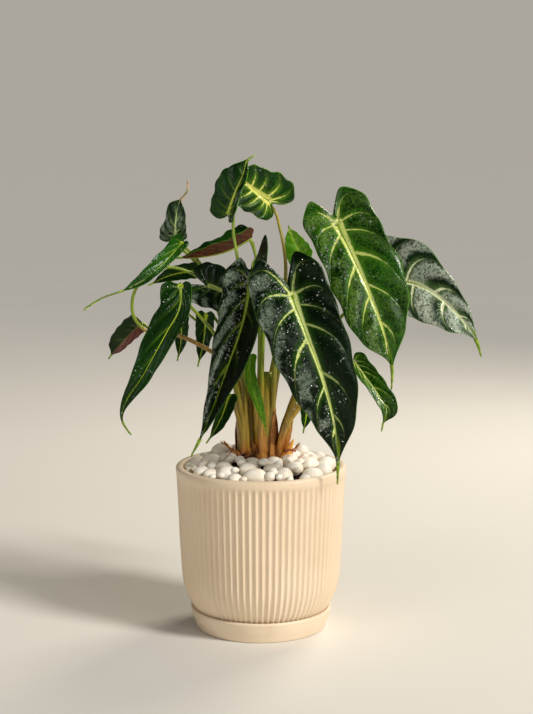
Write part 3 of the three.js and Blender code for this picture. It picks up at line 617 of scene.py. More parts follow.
def saucer():
    lip, height = SAUCER_R, SAUCER_H
    floor = POT_Z - POT_GAP
    profile = [(0.6, 0), (lip - 9, 0)] + rounded((lip - 7.5, 0), (lip - 5.5, 0), (lip - 5, 1.2))
    flank = [(lip - 4.2, 4), (lip - 2, height * 0.5), (lip - 0.3, height - 3)]
    profile += [tuple(p) for p in spline(flank, 9)]
    profile += rounded((lip, height - 1.6), (lip, height), (lip - 1.5, height), 6)
    profile += rounded((lip - 1.7, height), (lip - 2.9, height), (lip - 3, height - 1.4), 5)
    profile += [(lip - 3.4, height * 0.62)]
    profile += rounded((lip - 4, floor + 5), (lip - 4.6, floor), (lip - 9, floor), 6)
    profile += [(0.6, floor)]
    make_piece("saucer_dish", turn_profile(profile, 160), [CERAMIC], ["saucer"])


# ---- leaves --------------------------------------------------------------
# rib: points of the midrib from the stalk's joint to the drip tip, above the rim.
# face and face_tip: which way the upper side looks at the joint and at the tip.
# The pairs are for the two halves: W half width, B lobe length behind the joint, full and
# lean the share of the width left at 0.4 and 0.7 of the length, fold and curl in degrees.

def outward(x, y, clear):
    k = (POT_R + clear) / math.hypot(x, y)
    return x * k, y * k


def leaf(rib, face, W, B, full, lean, fold, notch, drip, stalk, upper, under="green",
         face_tip=None, curl=(0, 0), drops=0, slot="leaf_green", r_foot=STALK_R):
    return dict(rib=rib, face=face, face_tip=face_tip or face, W=W, B=B, full=full, lean=lean, fold=fold,
                curl=curl, notch=notch, drip=drip, stalk=stalk, upper=upper, under=under, drops=drops,
                slot=slot, r_foot=r_foot)


LEAVES = {
    "front_large": leaf(
        [(27, -60, 157), (38, -69, 128), (52, -73, 90), (63, -72, 46),
         (*outward(66, -66, TIP_CLEAR + 3), 14), (*outward(66, -62, TIP_CLEAR), -5)],
        (0.15, -1, 0.25), (34, 32), (39, 36), (0.93, 0.96), (0.45, 0.54), (8, 14), 13, 0.12,
        [(5, -8, 3), (10, -8, 46), (13, -14, 96), (20, -34, 137)],
        "dark", face_tip=(0.1, -1, -0.1), curl=(-15, -10), drops=760, slot="leaf_dark"),
    "front_left": leaf(
        [(-9, -17, 164), (-15, -26, 133), (-28, -34, 95), (-41, -38, 59), (-53, -40, 30), (-61, -41, 15)],
        (-0.35, -1, 0.1), (24, 33), (22, 42), (0.75, 1.1), (0.34, 0.44), (22, 50), 14, 0.1,
        [(1, -9, 4), (0, -8, 60), (2, -8, 123), (5, -6, 175), (0, -3, 188), (-6, -4, 182)],
        "dark_gloss", face_tip=(-0.3, -1, 0), curl=(-20, 0), drops=760, slot="leaf_dark"),
    "right_large": leaf(
        [(67, -12, 215), (80, -24, 188), (95, -34, 154), (107, -38, 121), (114, -34, 92), (114, -30, 72)],
        (0, -1, 0.3), (27, 34), (29, 30), (1.05, 1.05), (0.8, 0.58), (10, 10), 10, 0.14,
        [(15, 0, 2), (20, 2, 30), (32, 6, 63), (53, 12, 120), (66, 14, 173), (69, 4, 201)],
        "green", face_tip=(0.1, -1, 0), curl=(-15, -15), drops=460),
    "right_far": leaf(
        [(115, 34, 162), (139, 26, 160), (158, 18, 150), (177, 10, 132), (191, 2, 113), (196, 0, 97)],
        (0, -1, 0.5), (36, 40), (32, 34), (0.87, 0.56), (0.5, 0.25), (8, 14), 10, 0.13,
        [(16, 5, 0), (21, 11, 29), (41, 24, 82), (81, 40, 136), (107, 44, 155)],
        "heavy_painted_sheen", face_tip=(0.1, -1, 0.3), curl=(-10, -10), drops=260),
    "right_twisted": leaf(
        [(83, -2, 93), (93, -10, 80), (104, -16, 65), (111, -18, 52), (108, -16, 39), (107, -14, 32)],
        (0.2, -1, 0.1), (6, 11), (5, 6), (0.9, 1.05), (0.9, 0.95), (20, 16), 2, 0.1,
        [(17, -6, 3), (21, -6, 32), (36, -4, 54), (57, -2, 76), (74, 4, 90)],
        "green", face_tip=(0.1, -1, 0), drops=30),
    "top_heart": leaf(
        [(6, 26, 235), (-6, 20, 244), (-17, 14, 253), (-27, 10, 265)],
        (-0.1, -1, 0.25), (26, 19), (21, 12), (0.78, 1.1), (0.7, 0.75), (10, 12), 6, 0.08,
        [(2, 2, 1), (6, 4, 57), (18, 10, 129), (22, 18, 180), (17, 28, 210), (12, 34, 226)],
        "light", face_tip=(-0.2, -1, 0.3), drops=50, slot="leaf_light"),
    "top_upright": leaf(
        [(-28, -6, 225), (-22, -12, 243), (-15, -14, 259), (-11, -12, 271), (-5, -8, 275)],
        (-0.35, -1, 0), (12, 18), (6, 9), (0.8, 1.05), (0.5, 0.8), (45, 8), 3, 0.12,
        [(-13, -4, 2), (-14, -5, 59), (-16, -4, 121), (-20, -3, 182), (-24, -1, 206)],
        "upright", face_tip=(-0.2, -1, 0.1), drops=30),
    "tip_small": leaf(
        [(-76, 14, 204), (-75, 8, 218), (-72, 8, 234), (-65, 12, 244), (-65, 14, 253)],
        (0, -1, 0.2), (10, 14), (4, 6), (0.9, 0.7), (0.62, 0.62), (12, 12), 3, 0.36,
        [(-15, 7, -1), (-18, 18, 54), (-32, 32, 113), (-54, 40, 172), (-66, 33, 186), (-75, 23, 196)],
        "small_dark", face_tip=(0, -1, 0), drops=20),
    "left_long": leaf(
        [(-70, 6, 198), (-83, -10, 183), (-98, -22, 170), (-117, -30, 160), (-137, -36, 153),
         (-153, -38, 143)],
        (-0.2, -1, 0.35), (9, 6), (8, 4), (1.05, 0.7), (0.6, 0.6), (15, 15), 4, 0.34,
        [(-17, 5, 0), (-21, 14, 56), (-30, 22, 109), (-48, 28, 160), (-55, 30, 178), (-67, 22, 192)],
        "long", face_tip=(0, -1, 0.3), drops=30),
    "left_hanging": leaf(
        [(-69, -34, 163), (-69, -40, 147), (-82, -46, 122), (-98, -50, 93), (-119, -50, 47), (-112, -46, 35)],
        (-0.1, -1, 0.2), (17, 9), (5, 4), (0.9, 1.05), (0.35, 0.6), (12, 14), 4, 0.09,
        [(-15, -7, 3), (-20, -10, 60), (-34, -10, 109), (-53, -12, 134), (-63, -22, 147)],
        "plain", face_tip=(-0.1, -1, 0.1), drops=70),
    "left_middle": leaf(
        [(-45, 10, 159), (-34, 8, 155), (-20, 8, 146), (-9, 9, 131)],
        (0, -1, 0.25), (20, 20), (24, 20), (0.9, 0.79), (0.5, 0.41), (12, 12), 4, 0.08,
        [(-14, 3, 1), (-17, 8, 57), (-30, 12, 91), (-43, 14, 99), (-79, 12, 116), (-101, 6, 119),
         (-113, 0, 134), (-113, -2, 151), (-104, -2, 167), (-88, 3, 176), (-74, 12, 175), (-60, 18, 169)],
        "plain_dark", face_tip=(0, -1, 0.2), drops=60, slot="leaf_dark"),
    "left_folded": leaf(
        [(-108, 16, 124), (-119, 20, 114), (-130, 22, 102), (-138, 22, 92)],
        (0.4, -1, 0.4), (13, 7), (3, 2), (0.95, 0.9), (0.75, 0.7), (18, 18), 1, 0.08,
        [(-101, 6, 119), (-99, 13, 120), (-102, 20, 121)],
        "maroon", "maroon", face_tip=(0.4, -1, 0.3), slot="leaf_maroon", r_foot=1.5),
    "maroon": leaf(
        [(-10, 26, 201), (-32, 17, 190), (-53, 9, 186), (-77, 4, 185)],
        (0, -0.15, 1), (17, 14), (5, 5), (0.9, 0.95), (0.55, 0.6), (42, 62), 3, 0.08,
        [(0, 4, 1), (-1, 7, 57), (-1, 14, 120), (-3, 24, 175)],
        "plain", "maroon", slot="leaf_maroon"),
    "left_curl": leaf(
        [(-61, 27, 171), (-80, 23, 168), (-101, 17, 159)],
        (0, -1, 0.3), (8, 7), (5, 5), (0.9, 0.9), (0.5, 0.5), (16, 16), 2, 0.1,
        [(-13, 8, 0), (-15, 16, 55), (-21, 22, 109), (-42, 34, 150), (-55, 37, 165)],
        "plain", "green", slot="leaf_light"),
    "back_left_a": leaf(
        [(-50, 34, 130), (-53, 36, 103), (-58, 34, 83)],
        (0, -1, 0.1), (9, 8), (5, 5), (0.9, 0.9), (0.5, 0.5), (16, 16), 2, 0.1,
        [(-12, 9, 0), (-14, 22, 54), (-26, 34, 99), (-40, 41, 124), (-46, 41, 131)],
        "plain", slot="leaf_light"),
    "back_left_b": leaf(
        [(-73, 42, 127), (-74, 44, 102), (-77, 42, 87)],
        (0, -1, 0.1), (7, 7), (4, 4), (0.9, 0.9), (0.5, 0.5), (16, 16), 2, 0.1,
        [(-13, 10, -2), (-17, 28, 53), (-36, 44, 102), (-60, 52, 124), (-69, 50, 130)],
        "plain"),
    "back_light": leaf(
        [(36, 46, 185), (30, 48, 198), (25, 48, 211)],
        (0, -1, 0.1), (11, 13), (8, 10), (0.8, 0.8), (0.42, 0.42), (14, 14), 2, 0.06,
        [(5, 6, 0), (11, 14, 56), (25, 34, 126), (36, 50, 168)],
        "bright", "light", slot="leaf_light"),
    "inner_bright": leaf(
        [(-9, -22, 101), (-9, -26, 82), (-2, -28, 59), (6, -26, 31)],
        (0.2, -1, 0), (5, 5), (2, 2), (0.95, 1.05), (0.5, 0.7), (20, 25), 1, 0.08,
        [(-1, -3, 2), (-4, -8, 41), (-8, -13, 85)],
        "bright", "light", slot="leaf_light"),
    "inner_dark": leaf(
        [(-28, -24, 66), (-35, -26, 46), (-48, -28, 24)],
        (-0.2, -1, 0.1), (6, 8), (3, 3), (0.9, 0.9), (0.5, 0.5), (14, 14), 1, 0.1,
        [(-16, -4, 2), (-19, -12, 38), (-25, -18, 60)],
        "plain", slot="leaf_dark"),
    "inner_small": leaf(
        [(41, -26, 62), (40, -28, 49), (37, -28, 33)],
        (0, -1, 0), (6, 6), (3, 3), (0.9, 0.9), (0.5, 0.5), (14, 14), 1, 0.12,
        [(16, -8, 4), (20, -13, 34), (31, -18, 56)],
        "plain", slot="leaf_dark"),
}
FAN = 0.3  # share of the outline that belongs to the lobe behind the joint
DRIP_JOIN = 4.0  # length over which the blade narrows to nothing at the foot of its drip tip
BIG = 60  # length of midrib from which a blade gets the finer grid


class Blade:
    """The curved surface of one leaf: flat places (x along the rib, d to the side) to space."""

    def __init__(self, spec):
        self.spec = spec
        self.rib = spline(spec["rib"], 121)
        self.run = np.r_[0, np.cumsum(np.linalg.norm(np.diff(self.rib, axis=0), axis=1))]
        self.length = self.run[-1]
        self.tangent = unit(np.gradient(self.rib, axis=0))
        self.faces = [unit(spec["face"]), unit(spec["face_tip"])]

    def frame(self, x):
        inside = np.clip(x, 0, self.length)
        spot = np.stack([np.interp(inside, self.run, self.rib[:, k]) for k in range(3)], -1)
        along = unit(np.stack([np.interp(inside, self.run, self.tangent[:, k]) for k in range(3)], -1))
        spot = spot + along * np.minimum(x, 0)[..., None]
        q = (inside / self.length)[..., None]
        up = self.faces[0] * (1 - q) + self.faces[1] * q
        up = unit(up - along * (up * along).sum(-1, keepdims=True))
        return spot, along, up, np.cross(along, up)

    def place(self, x, d, side):
        spot, _, up, across = self.frame(x)
        fold = math.radians(self.spec["fold"][side])
        k = math.radians(self.spec["curl"][side]) / self.spec["W"][side]
        if abs(k) > 1e-9:
            level = (np.sin(fold + k * d) - math.sin(fold)) / k
            raised = (math.cos(fold) - np.cos(fold + k * d)) / k
        else:
            level, raised = d * math.cos(fold), d * math.sin(fold)
        turn = -1 if side else 1
        return spot + across * (turn * level)[..., None] + up * raised[..., None]

    def outline(self, side, count):
        s, L = self.spec, self.length
        W, B, body = s["W"][side], s["B"][side], (1 - s["drip"]) / 0.9
        return spline([(-s["notch"], 0), (-0.55 * B, 0.12 * W), (-B, 0.5 * W), (-0.55 * B, 0.93 * W),
                       (0.1 * L, W), (0.4 * body * L, s["full"][side] * W),
                       (0.7 * body * L, s["lean"][side] * W),
                       ((1 - s["drip"]) * L, 0.03 * W), (L, 0)], count)

    def flat(self, side, rows, cols):
        """Flat x and d of a grid whose rows follow the side veins from the rib to the margin."""
        edge = self.outline(side, rows + 1)
        past_blade = edge[:, 0] - (1 - self.spec["drip"]) * self.length
        edge[:, 1] *= np.clip(1 - past_blade / DRIP_JOIN, 0, 1)
        u = np.linspace(0, 1, rows + 1)
        foot = self.length * np.clip((u - FAN) / (1 - FAN), 0, 1) ** 1.55
        reach = np.hypot(edge[:, 0] - foot, edge[:, 1])
        bend = -0.12 * reach * np.minimum(1, u / FAN)
        a = np.linspace(0, 1, cols + 1)[None, :]
        x = ((1 - a) ** 2 * foot[:, None] + 2 * a * (1 - a) * ((foot + edge[:, 0]) / 2 + bend)[:, None]
             + a * a * edge[:, :1])
        d = np.maximum(a * edge[:, 1:], 0)
        return u, x, d, reach


def blade_mesh(name, blade, rows, cols):
    """A grid wrapped over both halves, with the quilting between the veins as real relief."""
    spec = blade.spec
    points, veins, widths = {}, {}, {}
    seed = sum(map(ord, name))
    for side in (0, 1):
        u, x, d, reach = blade.flat(side, rows, cols)
        a = np.broadcast_to(np.linspace(0, 1, cols + 1)[None, :], x.shape)
        order = (u - LOBE_VEIN) / VEIN_STEP
        scallop = 0.03 * np.cos(2 * math.pi * order[:, None]) + 0.02 * np.sin(order[:, None] * 1.9 + seed)
        d = d * (1 - a**3 * scallop * np.clip(4 * (1 - u), 0, 1)[:, None])
        spots = blade.place(x, d, side)
        _, _, up, _ = blade.frame(x)
        order = order + smooth_shares(u, 0.3, 0.5) * (0.12 * np.sin(order * 2.3 + seed) + 0.34 * side)
        number = order[:, None] - 0.5 * a**4
        du = np.stack(np.gradient(x, axis=0), 0), np.stack(np.gradient(d, axis=0), 0)
        da = np.gradient(x, axis=1), np.gradient(d, axis=1)
        pitch = np.abs(du[0] * da[1] - du[1] * da[0]) / np.maximum(np.hypot(*da), 1e-6) * rows * VEIN_STEP
        swell = 0.5 - 0.5 * np.cos(2 * math.pi * number)
        size = min(1.0, spec["W"][side] / 24) ** 1.7
        quilt = (1.25 * size * swell**0.7 * np.sin(math.pi * np.clip(a, 0, 1)) ** 0.6
                 * np.clip(pitch / 9, 0, 1))
        groove = -0.9 * size * np.exp(-((a * reach[:, None]) / 2.2) ** 2) * np.clip(1.1 - u, 0, 1)[:, None]
        ripple = 1.3 * size * a**3 * np.sin(number * 3.3 + seed) * np.clip(3 * (1 - u), 0, 1)[:, None]
        spots = spots + up * (quilt + groove + ripple)[..., None]
        like_large = min(3.0, max(1.0, 60 / sum(spec["W"]))) / WIDTHS_UNIT
        points[side], veins[side] = spots, (number, a * (1 if side else -1))
        widths[side] = (pitch * like_large, np.broadcast_to(reach[:, None] * like_large, x.shape))
    points[0][:, 0] = points[1][:, 0] = (points[0][:, 0] + points[1][:, 0]) / 2

    bm = bmesh.new()
    bmesh.ops.create_grid(bm, x_segments=rows, y_segments=2 * cols, size=1)
    vein_map = bm.loops.layers.uv.new("veins")
    width_map = bm.loops.layers.uv.new("widths")
    cell = {v: (round((v.co.x + 1) / 2 * rows), round(v.co.y * cols)) for v in bm.verts}
    for face in bm.faces:
        side = 1 if face.calc_center_median().y > 0 else 0
        for loop in face.loops:
            i, j = cell[loop.vert]
            loop[vein_map].uv = (veins[side][0][i, abs(j)], veins[side][1][i, abs(j)])
            loop[width_map].uv = (widths[side][0][i, abs(j)], widths[side][1][i, abs(j)])
    for vert, (i, j) in cell.items():
        vert.co = Vector(points[1 if j > 0 else 0][i, abs(j)]) + Vector((0, 0, RIM_Z))
    bmesh.ops.remove_doubles(bm, verts=bm.verts, dist=2e-3)
    slivers = [face for face in bm.faces if face.calc_area() < SLIVER]
    bmesh.ops.delete(bm, geom=slivers, context="FACES")
    return bm, points


def dew_drops(name, blade, points, count):
    """Small domes of water standing on the upper side."""
    rng = random.Random(name)
    bm = bmesh.new()
    for _ in range(count):
        side = rng.random() < 0.22
        grid = points[int(side)]
        i = int(rng.uniform(0.04, 0.94) * (grid.shape[0] - 2))
        j = int(rng.uniform(0.06, 0.96) * (grid.shape[1] - 2))
        s, t = rng.random(), rng.random()
        corners = grid[i, j], grid[i + 1, j], grid[i, j + 1], grid[i + 1, j + 1]
        spot = (corners[0] * (1 - s) + corners[1] * s) * (1 - t) + (corners[2] * (1 - s) + corners[3] * s) * t
        normal = np.cross(corners[1] - corners[0], corners[2] - corners[0])
        if np.linalg.norm(normal) < 1e-6 or noise.noise(Vector(spot) * 0.07) < (0.05 if side else -0.12):
            continue
        normal = Vector(normal if side else -normal).normalized()
        if normal.dot(Vector(blade.faces[0])) < 0:
            normal.negate()
        r = rng.choice((0.32, 0.4, 0.5, 0.65, 0.95)) * rng.uniform(0.8, 1.2)
        bead = bmesh.new()
        bmesh.ops.create_uvsphere(bead, u_segments=7, v_segments=4, radius=r)
        bmesh.ops.scale(bead, vec=(1, 1, 0.55), verts=bead.verts)
        bmesh.ops.rotate(bead, verts=bead.verts, matrix=normal.to_track_quat("Z", "Y").to_matrix())
        centre = Vector(spot) + normal * 0.1 * r + Vector((0, 0, RIM_Z))
        bmesh.ops.translate(bead, vec=centre, verts=bead.verts)
        add_small(bm, bead)
    make_piece("dew_on_" + name, bm, [DEW])


def keel(name, blade):
    """The midrib standing proud of the underside."""
    bm = bmesh.new()
    path = []
    for x in np.linspace(-1, blade.length * 0.94 * (1 - blade.spec["drip"]), 9):
        spot, _, up, _ = blade.frame(np.array(x))
        path.append(spot - up * (BLADE_T * 0.75 + 0.55) + np.array([0, 0, RIM_Z]))
    thick = 0.75 + min(1.2, blade.length / 130)
    add_tube(bm, path, lambda t: 0.22 + thick * (1 - t) ** 1.3 * 0.8, sides=8, steps=32)
    make_piece("midrib_" + name, bm, [STALK])


def drip_tip(name, blade):
    """The thin drip tip, round like a thread, that the blade runs out into."""
    spec = blade.spec
    bm = bmesh.new()
    path = []
    for x in np.linspace((1 - spec["drip"]) * blade.length - DRIP_ROOT, blade.length, 7):
        spot, _, up, _ = blade.frame(np.array(x))
        path.append(spot - up * 0.2 + np.array([0, 0, RIM_Z]))
    start = 0.35 + 0.032 * sum(spec["W"]) / 2
    add_tube(bm, path, lambda t: 0.38 + start * (1 - t) ** 0.8, sides=10, steps=24, squash=0.8)
    skin = DRIP_DRY if name == "tip_small" else DRIP_GREEN
    make_piece("drip_" + name, bm, [skin])


def leaves():
    for name, spec in LEAVES.items():
        blade = Blade(spec)
        big = blade.length > BIG
        bm, points = blade_mesh(name, blade, 128 if big else 64, 26 if big else 14)
        skins = [UPPER[spec["upper"]], UNDER[spec["under"]]]
        made = make_piece("blade_" + name, bm, skins, ["leaf_" + name])
        shell = made.modifiers.new("thickness", "SOLIDIFY")
        shell.thickness = BLADE_T * MM
        shell.offset = -1
        shell.use_even_offset = False
        shell.material_offset = 1
        shell.material_offset_rim = 0
        keel(name, blade)
        drip_tip(name, blade)
        if spec["drops"]:
            dew_drops(name, blade, points, spec["drops"])


# ---- stalks --------------------------------------------------------------

CLUMPS = {
    "left": ["top_upright", "tip_small", "left_long", "left_hanging", "left_middle", "left_folded",
             "left_curl", "back_left_a", "back_left_b", "inner_dark"],
    "centre": ["front_large", "front_left", "top_heart", "maroon", "back_light", "inner_bright"],
    "right": ["right_large", "right_far", "right_twisted", "inner_small"],
}


def lifted(points):
    return [(x, y, z + RIM_Z) for x, y, z in points]


def stalk_path(spec):
    blade = Blade(spec)
    spot, _, up, _ = blade.frame(np.array(0.0))
    path = list(spec["stalk"])
    if spec["r_foot"] == STALK_R:
        path.insert(0, (path[0][0], path[0][1], STALK_FOOT_Z))
    path += [tuple(spot - up * 5.5), tuple(spot - up * 1.2)]
    return lifted(path)


def stalk_radius(t, foot, taper):
    """Radius at a share of a stalk: swollen at the soil and a little at the leaf's joint."""
    swell = 0.8 * max(0, 1 - t / 0.1) if foot == STALK_R else 0
    joint = 0.5 * max(0, (t - 0.93) / 0.07)
    return STALK_TIP_R + joint + (foot - STALK_TIP_R) * (1 - t) ** taper + swell


def stalks():
    for clump, names in CLUMPS.items():
        bm = bmesh.new()
        for i, name in enumerate(names):
            spec = LEAVES[name]
            before = len(bm.faces)
            taper = 3.0 if name == "left_middle" else 1.9
            add_tube(bm, stalk_path(spec), lambda t: stalk_radius(t, spec["r_foot"], taper), sides=14,
                     steps=26 + 6 * len(spec["stalk"]), squash=0.9, knobs=0.07, seed=7.0 * i)
            if name in ("left_middle", "top_heart"):
                bm.faces.ensure_lookup_table()
                for face in bm.faces[before:]:
                    tan = face.calc_center_median().z < RIM_Z + TAN_TOP
                    face.material_index = 2 if name == "top_heart" else int(tan)
        skins = [STALK, TAN_STALK, GOLD_STALK]
        make_piece("stalks_of_" + clump, bm, skins, ["stalks_" + clump])


STEMS = {
    "left": ([(-14, -2, -8), (-14.5, -2, 12), (-16, -1, 34), (-19, 0, 62)], 8.2),
    "inner": ([(-7.5, 1, -8), (-8, 1, 14), (-9.5, 1, 44), (-12, 2, 88)], 5.2),
    "centre": ([(3.5, -4, -8), (3.5, -4.5, 14), (4.5, -5, 42), (6, -4, 84)], 11.2),
    "right": ([(18.5, -3, -8), (19.5, -3, 8), (22.5, -2, 22), (27, 0, 40)], 6.6),
}


def stems():
    """The thick foot of each clump, where the stalks' bases wrap one another."""
    for i, (clump, (path, r)) in enumerate(STEMS.items()):
        bm = bmesh.new()
        add_tube(bm, lifted(path), lambda t: r * (1 - 0.62 * t**0.9) * (1 + 0.12 * max(0, 1 - t / 0.16)),
                 sides=36, steps=48, squash=0.82, knobs=0.16, seed=31 + 5 * i)
        make_piece("stem_foot_" + clump, bm, [TAN_STALK if clump == "inner" else STALK])


def add_sheath(bm, points, radius, middle, spread, rows=26, cols=14, flare=0.0, ragged=4.0, seed=0):
    """A strip of old leaf base wrapped part of the way round a stalk, torn along its top."""
    path = spline(points, rows + 1)
    tangents, across, out = frames_along(path)
    grid = bmesh.ops.create_grid(bm, x_segments=rows, y_segments=cols, size=1)["verts"]
    for vert in grid:
        t, v = (vert.co.x + 1) / 2, vert.co.y
        row = round(t * rows)
        turn = math.radians(middle + v * spread * (1 - 0.75 * t**2.2))
        r = radius * (1 - 0.32 * t) + flare * t**3 * (0.4 + abs(v))
        r += 0.5 * noise.noise(Vector((v * 2, t * 4, seed)))
        tear = ragged * t**4 * noise.noise(Vector((v * 4.1, 3.7, seed * 1.7)))
        vert.co = (path[row] + across[row] * r * math.cos(turn) + out[row] * r * math.sin(turn)
                   + tangents[row] * tear)
    bmesh.ops.recalc_face_normals(bm, faces=bm.faces)


def sheaths():
    strips = {
        "old_sheaths_left": [
            ([(-15, -2, -7), (-16, -2, 6), (-19, -3, 16), (-25, -5, 25)], 9.8, 25, 74, 3.2, 8, 1),
            ([(-14, -3, -7), (-14, -4, 5), (-13, -6, 13), (-12, -9, 19)], 9.4, 118, 52, 2.2, 7, 2),
            ([(-15, 4, -7), (-16, 6, 10), (-18, 9, 26), (-20, 11, 38)], 7.6, 270, 95, 1.2, 5, 3)],
        "old_sheaths_centre": [
            ([(4, -4, -7), (4, -4, 12), (4, -5, 34), (5, -6, 52)], 11.6, 150, 40, 0.8, 6, 4),
            ([(3, -4, -7), (3, -4, 8), (2, -5, 15), (1, -6, 21)], 12.0, 40, 38, 1.6, 7, 5),
            ([(6, 2, -7), (7, 2, 14), (8, 3, 34), (9, 4, 52)], 9.4, 270, 105, 0.8, 6, 6)],
        "old_sheaths_right": [
            ([(19, -3, -7), (20, -3, 6), (23, -4, 15), (28, -5, 23)], 7.6, 165, 75, 2.2, 7, 7),
            ([(18, 2, -7), (19, 3, 8), (21, 5, 22), (24, 7, 34)], 6.8, 270, 100, 1.2, 5, 8)],
    }
    for name, parts in strips.items():
        bm = bmesh.new()
        for points, radius, middle, spread, flare, ragged, seed in parts:
            add_sheath(bm, lifted(points), radius, middle, spread, flare=flare, ragged=ragged, seed=seed)
        made = make_piece(name, bm, [SHEATH])
        shell = made.modifiers.new("thickness", "SOLIDIFY")
        shell.thickness = SHEATH_T * MM
        shell.offset = 0


def bud():
    """A fat pointed shoot at the foot of the right-hand clump."""
    bm = bmesh.new()
    add_tube(bm, lifted([(17, -9, -7), (20, -11, 2), (24, -12, 12), (29, -12, 25)]),
             lambda t: 5.2 * (1 - t) ** 0.55 * (0.75 + 0.6 * math.sin(math.pi * min(1, t * 1.3))) + 0.3,
             sides=18, steps=30, squash=0.85, knobs=0.12, seed=3)
    make_piece("side_shoot", bm, [BUD])


def strands():
    """Thin dry fibres left from old leaves."""
    runs = [
        [(-24, -14, 18), (-27, -20, 14), (-30, -22, 11), (-33, -26, 8)],
        [(12, -14, 12), (13, -19, 13), (17, -24, 13), (19, -27, 11)],
        [(-8, -13, 4), (-10, -18, 9), (-14, -22, 11), (-13, -27, 9)],
        [(-21, -6, 7), (-24, -12, 8), (-20, -18, 7), (-12, -17, 6)],
        [(-6, -11, 6), (-3, -17, 6), (3, -19, 6), (8, -17, 5)],
        [(-25, -3, 8), (-28, -6, 12), (-30, -10, 13), (-31, -16, 12)],
    ]
    bm = bmesh.new()
    for i, run in enumerate(runs):
        add_tube(bm, lifted(run), lambda t: 0.5 - 0.3 * t, sides=6, steps=20, knobs=0.3, seed=i)
    make_piece("dry_fibres", bm, [ROOT])


def root_curl():
    low, high = (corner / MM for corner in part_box("root_curl"))
    mid = (low + high) / 2
    bm = bmesh.new()
    run = [(low.x + 0.8, high.y - 0.8, low.z + 0.6), (low.x + 2.6, low.y + 1.2, high.z - 1.2),
           (mid.x + 2.2, low.y + 1, high.z - 1.3), (high.x - 0.8, high.y - 1.5, mid.z - 0.4)]
    add_tube(bm, run, lambda t: 1.35 - 0.55 * t, sides=10, steps=30, knobs=0.35, seed=9)
    make_piece("curled_root", bm, [ROOT], ["root_curl"])


# ---- pebbles and soil ----------------------------------------------------

def add_pebble(bm, centre, size, turn, tilt, seed, detail=3):
    stone = bmesh.new()
    bmesh.ops.create_icosphere(stone, subdivisions=detail, radius=1)
    for vert in stone.verts:
        p = vert.co.copy()
        lump = noise.noise(p * 0.9 + Vector((seed * 3.1, seed, 0)))
        p *= 1 + 0.14 * lump + 0.03 * noise.noise(p * 2.6 + Vector((0, seed, 5)))
        vert.co = Vector((p.x * size[0], p.y * size[1], p.z * size[2]))
    spin = Matrix.Rotation(turn, 3, "Z") @ Matrix.Rotation(tilt, 3, "X")
    bmesh.ops.rotate(stone, verts=stone.verts, matrix=spin)
    bmesh.ops.translate(stone, vec=centre, verts=stone.verts)
    add_small(bm, stone)


def bed_level(r):
    """Height of the top of the stones at a distance from the middle."""
    return np.interp(r, [20, 34, 50, 62, 70], [RIM_Z + 11, RIM_Z + 11.5, RIM_Z + 7, RIM_Z + 2.5, RIM_Z - 2])


# Places above the rim and radius of six stones that stand out round the stalks.
PLACED_STONES = [(-35, 14, 9, 9.6), (-21, 17, 11, 5.2), (37, 15, 9.5, 6.6), (27, 16, 10, 5.2),
                 (-8, -26, 4.5, 8.4), (-43, -6, 3, 9.4)]
# Tries, smallest and largest radius, depth below the top, and the nearest squared share of the
# pot's radius: four sizes on top, small ones by the wall, then the layers underneath.
STONE_KINDS = [(160, 8.4, 10.2, 0.0, 0.04), (300, 6.8, 8.4, 0.0, 0.04), (400, 4.6, 6.2, 0.0, 0.04),
               (420, 3.2, 4.4, 0.0, 0.04), (260, 4.4, 6.4, 2.5, 0.8), (500, 6.5, 8.5, 9.0, 0.04),
               (400, 5.5, 7.0, 8.0, 0.8)]
PACKING = 0.84  # how close two stones' centres may come, as a share of their radii together


def pebbles():
    rng = random.Random(21)
    inner = POT_R - POT_WALL
    taken = []
    for i in range(12):
        name = f"pebble_{i + 1:02d}"
        low, high = (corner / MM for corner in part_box(name))
        centre, half = (low + high) / 2, (high - low) / 2
        bm = bmesh.new()
        width = (half.x + half.y) / 2
        shape = (width * 1.16, width * 0.98, half.z * 1.3)
        add_pebble(bm, centre, shape, rng.uniform(0, 3), rng.uniform(-0.2, 0.2), i)
        make_piece("stone_" + name[-2:], bm, [STONE], [name])
        taken.append((centre, width))

    def open_ground(x, y, r):
        hollow = ((x + 12) / (10 + r)) ** 2 + ((y + 9) / (9 + r)) ** 2 < 1
        return hollow or ((x - 4) / (20 + r)) ** 2 + ((y - 1) / (13 + r)) ** 2 < 1

    bm = bmesh.new()
    for i, (x, y, z, r) in enumerate(PLACED_STONES):
        centre = Vector((x, y, RIM_Z + z))
        taken.append((centre, r))
        add_pebble(bm, centre, (r * 1.12, r * 0.95, r * 0.8), 0.7 * i, 0.15, 300 + i)
    seed = 20
    for tries, small, large, sink, nearest in STONE_KINDS:
        for _ in range(tries):
            r = rng.uniform(small, large)
            radius = math.sqrt(rng.uniform(nearest, 1)) * (inner - r * 0.95)
            angle = rng.uniform(0, 2 * math.pi)
            x, y = radius * math.cos(angle), radius * math.sin(angle)
            if open_ground(x, y, r * (0.9 if sink else 0.75)):
                continue
            centre = Vector((x, y, float(bed_level(radius)) - r * 0.72 - sink + rng.uniform(-1.2, 1.2)))
            if any((centre - c).length < PACKING * (r + q) for c, q in taken):
                continue
            taken.append((centre, r))
            seed += 1
            shape = (r * rng.uniform(1.0, 1.18), r * rng.uniform(0.84, 1.0), r * rng.uniform(0.78, 0.95))
            turn, tilt = rng.uniform(0, 3.1), rng.uniform(-0.35, 0.35)
            add_pebble(bm, centre, shape, turn, tilt, seed, 2 if sink else 3)
    make_piece("white_pebbles", bm, [STONE], ["pebble_bed"])


